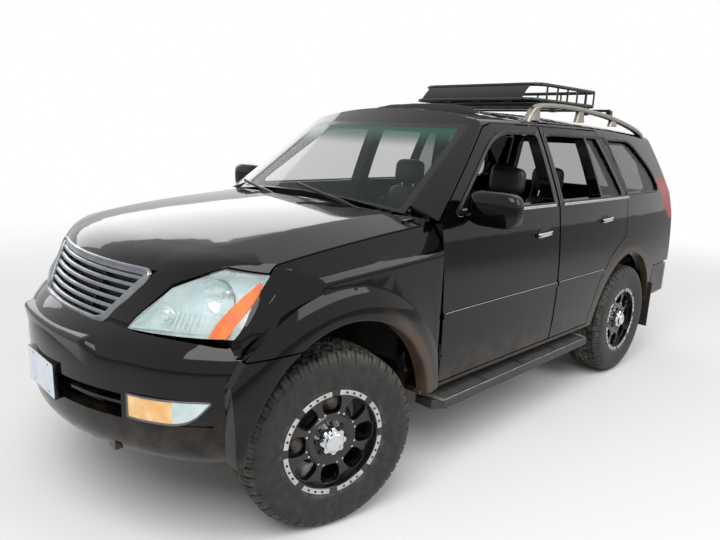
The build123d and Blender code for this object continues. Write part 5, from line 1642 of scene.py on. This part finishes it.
@dataclass
class Boards:
    """Ribbed treads, and grey end caps and a grey outer edge on the running boards, whose grey is lightened
    as a painted highlight.
    """

    inner: float = 0.800
    outer: float = 0.930
    ends: tuple = (-0.835, 0.700)
    sections: int = 4
    ribs: int = 7
    gap: float = 0.02
    first_rib: float = 0.016
    rib_step: float = 0.0165
    rib_z: float = 0.3935

    def build(self, kit: Kit) -> None:
        """Make the treads.

        Args:
            kit: adds the pieces.
        """
        length = (self.ends[1] - self.ends[0]) / self.sections
        ribs = []
        for part in range(self.sections):
            low = self.ends[0] + part * length + self.gap
            high = low + length - 2 * self.gap
            for rib in range(self.ribs):
                x = self.inner + self.first_rib + rib * self.rib_step
                path = run(x, (low, (low + high) / 2, high), self.rib_z)
                ribs.append(sweep(path, bar(0.008, 0.006, 0.002)))
        kit.pair("board_ribs", join(ribs), Look.BOARD_RIB)
        near, far, cut = self.inner - 0.02, self.outer + 0.010, self.outer - 0.025
        for name, outline in (
            ("front", [(near, -0.884), (far, -0.849), (far, -0.828), (near, -0.828)]),
            ("rear", [(near, 0.690), (far, 0.690), (cut, 0.709), (near, 0.744)]),
        ):
            # Caps in grey that carries a painted highlight of the sky.
            cap = slab(rounded(outline, 0.012, 4), 0.394, 0.400, 2)
            kit.pair(f"board_cap_{name}", cap, Look.BOARD_GREY_PAINTED_HIGHLIGHT, bevel=0.001)
        # Edge in the same grey with its painted highlight.
        edge = sweep(run(self.outer + 0.008, (-0.83, 0.0, 0.69), 0.3955), bar(0.006, 0.004, 0.001))
        kit.pair("board_edge", edge, Look.BOARD_GREY_PAINTED_HIGHLIGHT)


@dataclass
class Cushions:
    """Leather seats: puffed cushions swollen by a short cloth run, with headrests on bright posts."""

    pressure: float = 4.0
    frames: int = 20
    cap: float = 0.024
    give: float = 0.5
    voxel: float = 0.0132
    recline: float = -0.20
    post: float = 0.006

    def swell(self, piece: bpy.types.Object) -> None:
        """Puff a closed cushion with pressure so that its cover wrinkles, and keep the result.

        Args:
            piece: the cushion, whose mesh is replaced.
        """
        scene = bpy.context.scene
        remesh = piece.modifiers.new("even", "REMESH")
        remesh.mode = "VOXEL"
        remesh.voxel_size = self.voxel
        depsgraph = bpy.context.evaluated_depsgraph_get()
        even = bpy.data.meshes.new_from_object(piece.evaluated_get(depsgraph))
        piece.modifiers.clear()
        looks = list(piece.data.materials)
        piece.data = even
        start = np.empty(len(even.vertices) * 3, dtype=np.float32)
        even.vertices.foreach_get("co", start)
        cloth = piece.modifiers.new("cloth", "CLOTH")
        cloth.settings.use_pressure = True
        cloth.settings.uniform_pressure_force = self.pressure
        cloth.settings.tension_stiffness = 12.0
        cloth.settings.compression_stiffness = 6.0
        cloth.settings.bending_stiffness = 0.4
        cloth.settings.effector_weights.gravity = 0.0
        cloth.point_cache.frame_start = 1
        cloth.point_cache.frame_end = self.frames
        for frame in range(1, self.frames + 1):
            scene.frame_set(frame)
        depsgraph = bpy.context.evaluated_depsgraph_get()
        puffed = bpy.data.meshes.new_from_object(piece.evaluated_get(depsgraph))
        finish = np.empty_like(start)
        puffed.vertices.foreach_get("co", finish)
        shift = (finish - start).reshape(-1, 3)
        far = np.linalg.norm(shift, axis=1, keepdims=True)
        shift *= np.minimum(1.0, self.cap / np.maximum(far, 1e-6))
        puffed.vertices.foreach_set("co", (start.reshape(-1, 3) + shift * self.give).ravel())
        piece.modifiers.clear()
        puffed.materials.clear()
        for look in looks:
            puffed.materials.append(look)
        piece.data = puffed
        puffed.polygons.foreach_set("use_smooth", np.ones(len(puffed.polygons), dtype=bool))
        scene.frame_set(1)

    def cushion(self, kit: Kit, name: str, shape: Shape, replaces: Sequence[str] = ()) -> None:
        """Add one padded piece.

        Args:
            kit: adds the pieces.
            name: the piece's name.
            shape: its closed surface.
            replaces: construction nodes that it stands for.
        """
        piece = kit.add(name, shape, Look.LEATHER, crease=80, replaces=replaces)
        self.swell(piece)

    def front(self, kit: Kit, x: float, tag: str) -> None:
        """One front seat: base, side bolsters, back and headrest.

        Args:
            kit: adds the pieces.
            x: the seat's place across the car.
            tag: the side, for the names.
        """
        hip, spine = (x, 0.035, 0.665), (x, 0.285, 0.955)
        base = pillow((0.34, 0.47, 0.15), hip, 0.42).turned("X", -0.09, hip)
        self.cushion(kit, f"seat_base_{tag}", base, ["seats_front"] if tag == "left" else ())
        back = pillow((0.34, 0.115, 0.66), (x, 0.285, 0.985), 0.42).turned("X", self.recline, spine)
        self.cushion(kit, f"seat_back_{tag}", back)
        head = (x, 0.378, 1.405)
        rest = pillow((0.250, 0.095, 0.180), head, 0.5).turned("X", -0.08, head)
        self.cushion(kit, f"seat_headrest_{tag}", rest)
        bolsters = []
        for way in (-1, 1):
            low = pillow((0.085, 0.46, 0.165), (x + way * 0.190, 0.035, 0.672), 0.6)
            high = pillow((0.080, 0.145, 0.52), (x + way * 0.185, 0.268, 0.945), 0.6)
            bolsters += [low.turned("X", -0.09, hip), high.turned("X", self.recline, spine)]
        for index, bolster in enumerate(bolsters):
            self.cushion(kit, f"seat_bolster_{tag}_{index}", bolster)
        posts = self.posts((x - 0.055, x + 0.055), (0.348, 0.360, 0.370), (1.24, 1.31, 1.40))
        kit.add(f"headrest_posts_{tag}", posts, Look.CHROME)
        shell = rounded([(x - 0.20, 0.70), (x + 0.20, 0.70), (x + 0.17, 1.20), (x - 0.17, 1.20)], 0.05)
        frame = [
            box((0.40, 0.44, 0.06), (x, 0.035, 0.575)), box((0.30, 0.36, 0.075), (x, 0.05, 0.512)),
            slab(shell, 0.318, 0.345, 1).turned("X", self.recline, spine),
        ]
        kit.add(f"seat_shell_{tag}", join(frame), Look.DARK_PLASTIC, bevel=0.008)

    def posts(self, places: Sequence[float], y: tuple, z: tuple) -> Shape:
        """Headrest posts at places across the car, through three points each."""
        return join([sweep(run(x, y, z), circle(self.post, 10), up=(1, 0, 0)) for x in places])

    def rear(self, kit: Kit) -> None:
        """Rear bench in three places, with headrests.

        Args:
            kit: adds the pieces.
        """
        places = ((-0.42, 0.42, 0.24), (0.0, 0.40, 0.20), (0.42, 0.42, 0.24))
        for index, (x, width, head) in enumerate(places):
            base = pillow((width, 0.46, 0.14), (x, 0.660, 0.690), 0.36).turned("X", -0.03, (x, 0.66, 0.690))
            self.cushion(kit, f"bench_base_{index}", base, ["seat_rear"] if index == 0 else ())
            back = pillow((width, 0.115, 0.58), (x, 0.930, 0.995), 0.36)
            self.cushion(kit, f"bench_back_{index}", back.turned("X", self.recline, (x, 0.930, 0.965)))
            rest_x = x * 0.90
            rest = pillow((head, 0.088, 0.175), (rest_x, 0.990, 1.398), 0.5)
            self.cushion(kit, f"bench_headrest_{index}", rest)
            posts = self.posts((rest_x - 0.05, rest_x + 0.05), (0.968, 0.978, 0.986), (1.22, 1.30, 1.37))
            kit.add(f"bench_posts_{index}", posts, Look.CHROME)
        board = slab([(-0.62, 0.74), (0.62, 0.74), (0.62, 1.24), (-0.62, 1.24)], 0.995, 1.012, 1)
        base = box((1.24, 0.30, 0.02), (0.0, 0.60, 0.636))
        back_board = board.turned("X", self.recline, (0.0, 0.930, 0.965))
        kit.add("bench_shell", join([back_board, base]), Look.LINER, bevel=0.005)

    def build(self, kit: Kit) -> None:
        """Make all seats.

        Args:
            kit: adds the pieces.
        """
        self.front(kit, 0.425, "left")
        self.front(kit, -0.425, "right")
        self.rear(kit)


@dataclass
class Interior:
    """Steering wheel, dashboard fittings, gear lever, door cards and wipers."""

    cabin: Cabin
    boss: tuple = (0.425, -0.370, 1.080)
    slope: float = math.radians(-65.0)
    ring: float = 0.182
    card_gap: float = 0.0815

    def steering_wheel(self, kit: Kit) -> None:
        """Leather ring with three spokes, a padded boss and the column.

        Args:
            kit: adds the pieces.
        """
        ring = sweep(np.insert(circle(self.ring, 72), 2, 0.0, axis=1), circle(0.0148, 14), closed=True)
        parts = []
        for angle in (0.0, math.pi / 2, math.pi):
            away = np.array([0.03, 0.10, 0.180])
            spoke = run(away * math.cos(angle), away * math.sin(angle), (0.008, 0.004, 0.0))
            parts.append(sweep(spoke, bar(0.034, 0.016, 0.006)))
        parts.append(pillow((0.128, 0.118, 0.046), (0.0, 0.0, 0.004), 0.6, 40))
        ring, middle = (shape.turned("X", self.slope).moved(*self.boss) for shape in (ring, join(parts)))
        kit.add("steering_ring", ring, Look.LEATHER, crease=60, replaces=["steering_wheel"])
        kit.add("steering_boss", middle, Look.DARK_PLASTIC, crease=50)
        start, end = np.array(self.boss), np.array((0.425, -0.578, 0.983))
        column = sweep(np.linspace(start, end, 3), circle(0.0255, 20), up=(1, 0, 0))
        kit.add("steering_column", column, Look.DARK_PLASTIC, crease=50)

    def dashboard(self, kit: Kit) -> None:
        """Dial hood, centre screen and vents on the dashboard, and the gear lever.

        Args:
            kit: adds the pieces.
        """
        brow = [
            (0.28, -0.552, 1.214), (0.32, -0.548, 1.250), (0.425, -0.546, 1.262), (0.53, -0.548, 1.250),
            (0.57, -0.552, 1.214),
        ]
        kit.add("dash_hood", sweep(brow, bar(0.14, 0.012, 0.005)), Look.DARK_PLASTIC, crease=50)
        kit.add("dash_screen", box((0.23, 0.02, 0.14), (0.0, -0.522, 1.140)), Look.PILLAR_BLACK, bevel=0.004)
        vents = [box((0.13, 0.02, 0.055), (x, -0.522, 1.165)) for x in (-0.60, -0.18, 0.18, 0.61)]
        kit.add("dash_vents", join(vents), Look.GRILLE_DARK, bevel=0.004)
        stick = run(0.02, (-0.45, -0.452, -0.46), (0.815, 0.87, 0.925))
        knob = pillow((0.045, 0.05, 0.07), (0.02, -0.462, 0.95), 0.7, 24)
        lever = join([sweep(stick, circle(0.009, 12), up=(1, 0, 0)), knob])
        kit.add("gear_lever", lever, Look.LEATHER, crease=50)

    def door_cards(self, kit: Kit) -> None:
        """Dark inner panel with armrest on each door.

        Args:
            kit: adds the pieces.
        """
        for name, low, high in (("front", -0.80, 0.185), ("rear", 0.32, 0.78)):
            y, z = np.meshgrid(np.linspace(low, high, 30), np.linspace(0.52, 1.27, 24))
            swell = 0.012 * np.exp(-((z - 1.16) / 0.10) ** 2)
            x = self.cabin.side(y, z) - self.card_gap
            card = sheet(np.stack([x - swell, y, z], -1), np.stack([x + 0.0010, y, z], -1))
            kit.pair(f"door_card_{name}", card, Look.DARK_PLASTIC, DOORS[name], crease=50)
            rest_at = (0.815, (low + high) / 2 + 0.02, 0.985)
            rest = pillow((0.050, (high - low) * 0.60, 0.060), rest_at, 0.6, 32)
            kit.pair(f"door_armrest_{name}", rest, Look.LEATHER, DOORS[name], crease=60)

    def wipers(self, kit: Kit) -> None:
        """Two arms with blades parked along the windscreen's foot.

        Args:
            kit: adds the pieces.
        """
        knob = lathe([(0.0, TIP), (0.0, 0.013), (0.020, 0.012), (0.026, 0.006), (0.027, TIP)], 20)
        knob = knob.turned("Y", -math.pi / 2)
        parts = []
        for start, end in (
            ((0.52, -1.035, 1.292), (-0.12, -1.000, 1.392)), ((-0.10, -1.066, 1.292), (-0.62, -0.968, 1.352)),
        ):
            start, end = np.array(start), np.array(end)
            bend = start * 0.55 + end * 0.45 + (0.0, -0.012, 0.020)
            arm = curve([start, start * 0.8 + end * 0.2 + (0.0, -0.01, 0.02), bend], 6)
            reach = unit(end - start) * 0.27
            blade = np.array([bend - reach, bend, bend + reach]) + (0.0, 0.006, -0.008)
            parts += [sweep(arm, bar(0.012, 0.008, 0.003)), sweep(blade, bar(0.010, 0.016, 0.003))]
            parts.append(knob.moved(*(start - (0, 0, 0.012))))
        kit.add("wiper_arms", join(parts), Look.PILLAR_BLACK, crease=50)

    def build(self, kit: Kit) -> None:
        """Make the interior's pieces.

        Args:
            kit: adds the pieces.
        """
        self.steering_wheel(kit)
        self.dashboard(kit)
        self.door_cards(kit)
        self.wipers(kit)


class Tail:
    """Pull handle of the tail door."""

    def build(self, kit: Kit) -> None:
        """Make the handle."""
        path = run((0.50, 0.56, 0.62), (2.275, 2.290, 2.275), 1.10)
        kit.add("tail_handle", sweep(path, bar(0.02, 0.03, 0.008)), Look.CHROME, "tail_door")


@dataclass
class Studio:
    """Camera at the photograph's place, pale floor and soft light."""

    eye: tuple = (2.6136, -3.1211, 1.6781)
    yaw: float = -45.24
    pitch: float = -12.81
    roll: float = 2.319
    lens: float = 30.28
    floor_half: float = 60.0
    fade: tuple = (4.0, 9.0)
    world_light: float = 0.55

    def camera(self) -> None:
        """Aim the camera by yaw, pitch and roll."""
        yaw, pitch, roll = (math.radians(angle) for angle in (self.yaw, self.pitch, self.roll))
        ahead = Vector((math.sin(yaw) * math.cos(pitch), math.cos(yaw) * math.cos(pitch), math.sin(pitch)))
        right = Vector((math.cos(yaw), -math.sin(yaw), 0.0))
        up = right.cross(ahead)
        across = math.cos(roll) * right + math.sin(roll) * up
        over = -math.sin(roll) * right + math.cos(roll) * up
        data = bpy.data.cameras.new("photo_camera")
        data.lens = self.lens
        data.sensor_width = 36.0
        data.clip_end = 300.0
        camera = bpy.data.objects.new("photo_camera", data)
        camera.matrix_world = Matrix((across, over, -ahead)).transposed().to_4x4()
        camera.location = self.eye
        bpy.context.scene.collection.objects.link(camera)
        bpy.context.scene.camera = camera

    def floor(self) -> None:
        """Pale floor that keeps the shadow and fades into the white background far away."""
        side = self.floor_half
        mesh = bpy.data.meshes.new("studio_floor")
        square = [(-side, -side, 0), (side, -side, 0), (side, side, 0), (-side, side, 0)]
        mesh.from_pydata(square, [], [(0, 1, 2, 3)])
        floor = bpy.data.objects.new("studio_floor", mesh)
        bpy.context.scene.collection.objects.link(floor)
        shade = Shade("studio_floor")
        shade.set(Base_Color=(0.80, 0.80, 0.80, 1.0), Roughness=1.0)
        shade.set(Specular_IOR_Level=0.0)
        far = ((shade.place("X") ** 2.0 + shade.place("Y") ** 2.0) ** 0.5).band(*self.fade)
        seen = shade.node("LightPath", out="Is Camera Ray")
        glow = shade.node("Emission", Color=(1.0, 1.0, 1.0, 1.0), Strength=1.0)
        body = Wire(shade.tree, shade.shader.outputs["BSDF"])
        mixed = shade.node("MixShader", _0=far * seen, _1=body, _2=glow)
        shade.feed(shade.output.inputs["Surface"], mixed)
        mesh.materials.append(shade.material)

    def light(self) -> None:
        """Pale surroundings and three large soft lamps."""
        world = bpy.data.worlds.new("studio_world")
        bpy.context.scene.world = world
        world.use_nodes = True
        graph = Graph(world.node_tree)
        seen, glossy, through = (
            graph.node("LightPath", out=f"Is {kind} Ray") for kind in ("Camera", "Glossy", "Transmission")
        )
        strength = seen.maximum(glossy).maximum(through) * (1.0 - self.world_light) + self.world_light
        background = graph.tree.nodes["Background"]
        background.inputs["Color"].default_value = (1.0, 1.0, 1.0, 1.0)
        graph.feed(background.inputs["Strength"], strength)
        lamps = (
            ("key", (3.0, -4.5, 6.5), (5.0, 5.0), 420.0),
            ("fill", (6.5, 3.0, 5.0), (5.0, 5.0), 240.0),
            ("far", (-7.8, 2.6, 4.3), (14.0, 3.0), 260.0),
        )
        aim = Vector((0.0, 0.0, 0.8))
        for name, place, size, power in lamps:
            data = bpy.data.lights.new("studio_" + name, "AREA")
            data.shape = "RECTANGLE"
            data.size, data.size_y = size
            data.energy = power
            lamp = bpy.data.objects.new("studio_" + name, data)
            lamp.location = place
            lamp.rotation_mode = "QUATERNION"
            lamp.rotation_quaternion = (aim - Vector(place)).to_track_quat("-Z", "Y")
            bpy.context.scene.collection.objects.link(lamp)

    def build(self) -> None:
        """Set the stage."""
        bpy.context.scene.view_settings.view_transform = "Standard"
        self.camera()
        self.floor()
        self.light()


def main() -> None:
    """Build the picture over the frame."""
    logging.basicConfig(level=logging.INFO)
    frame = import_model()
    Studio().build()
    finishes = Finishes()
    finishes.dress(frame)
    kit = Kit(finishes)
    cabin = Cabin()
    parts = (
        Wheels(), FrontEnd(Nose(), Bumper()), SideTrim(cabin), Roof(), Boards(), Interior(cabin), Tail(),
        Cushions(),
    )
    for part in parts:
        part.build(kit)
        log.info("built %s", type(part).__name__)


if __name__ == "__main__":
    main()
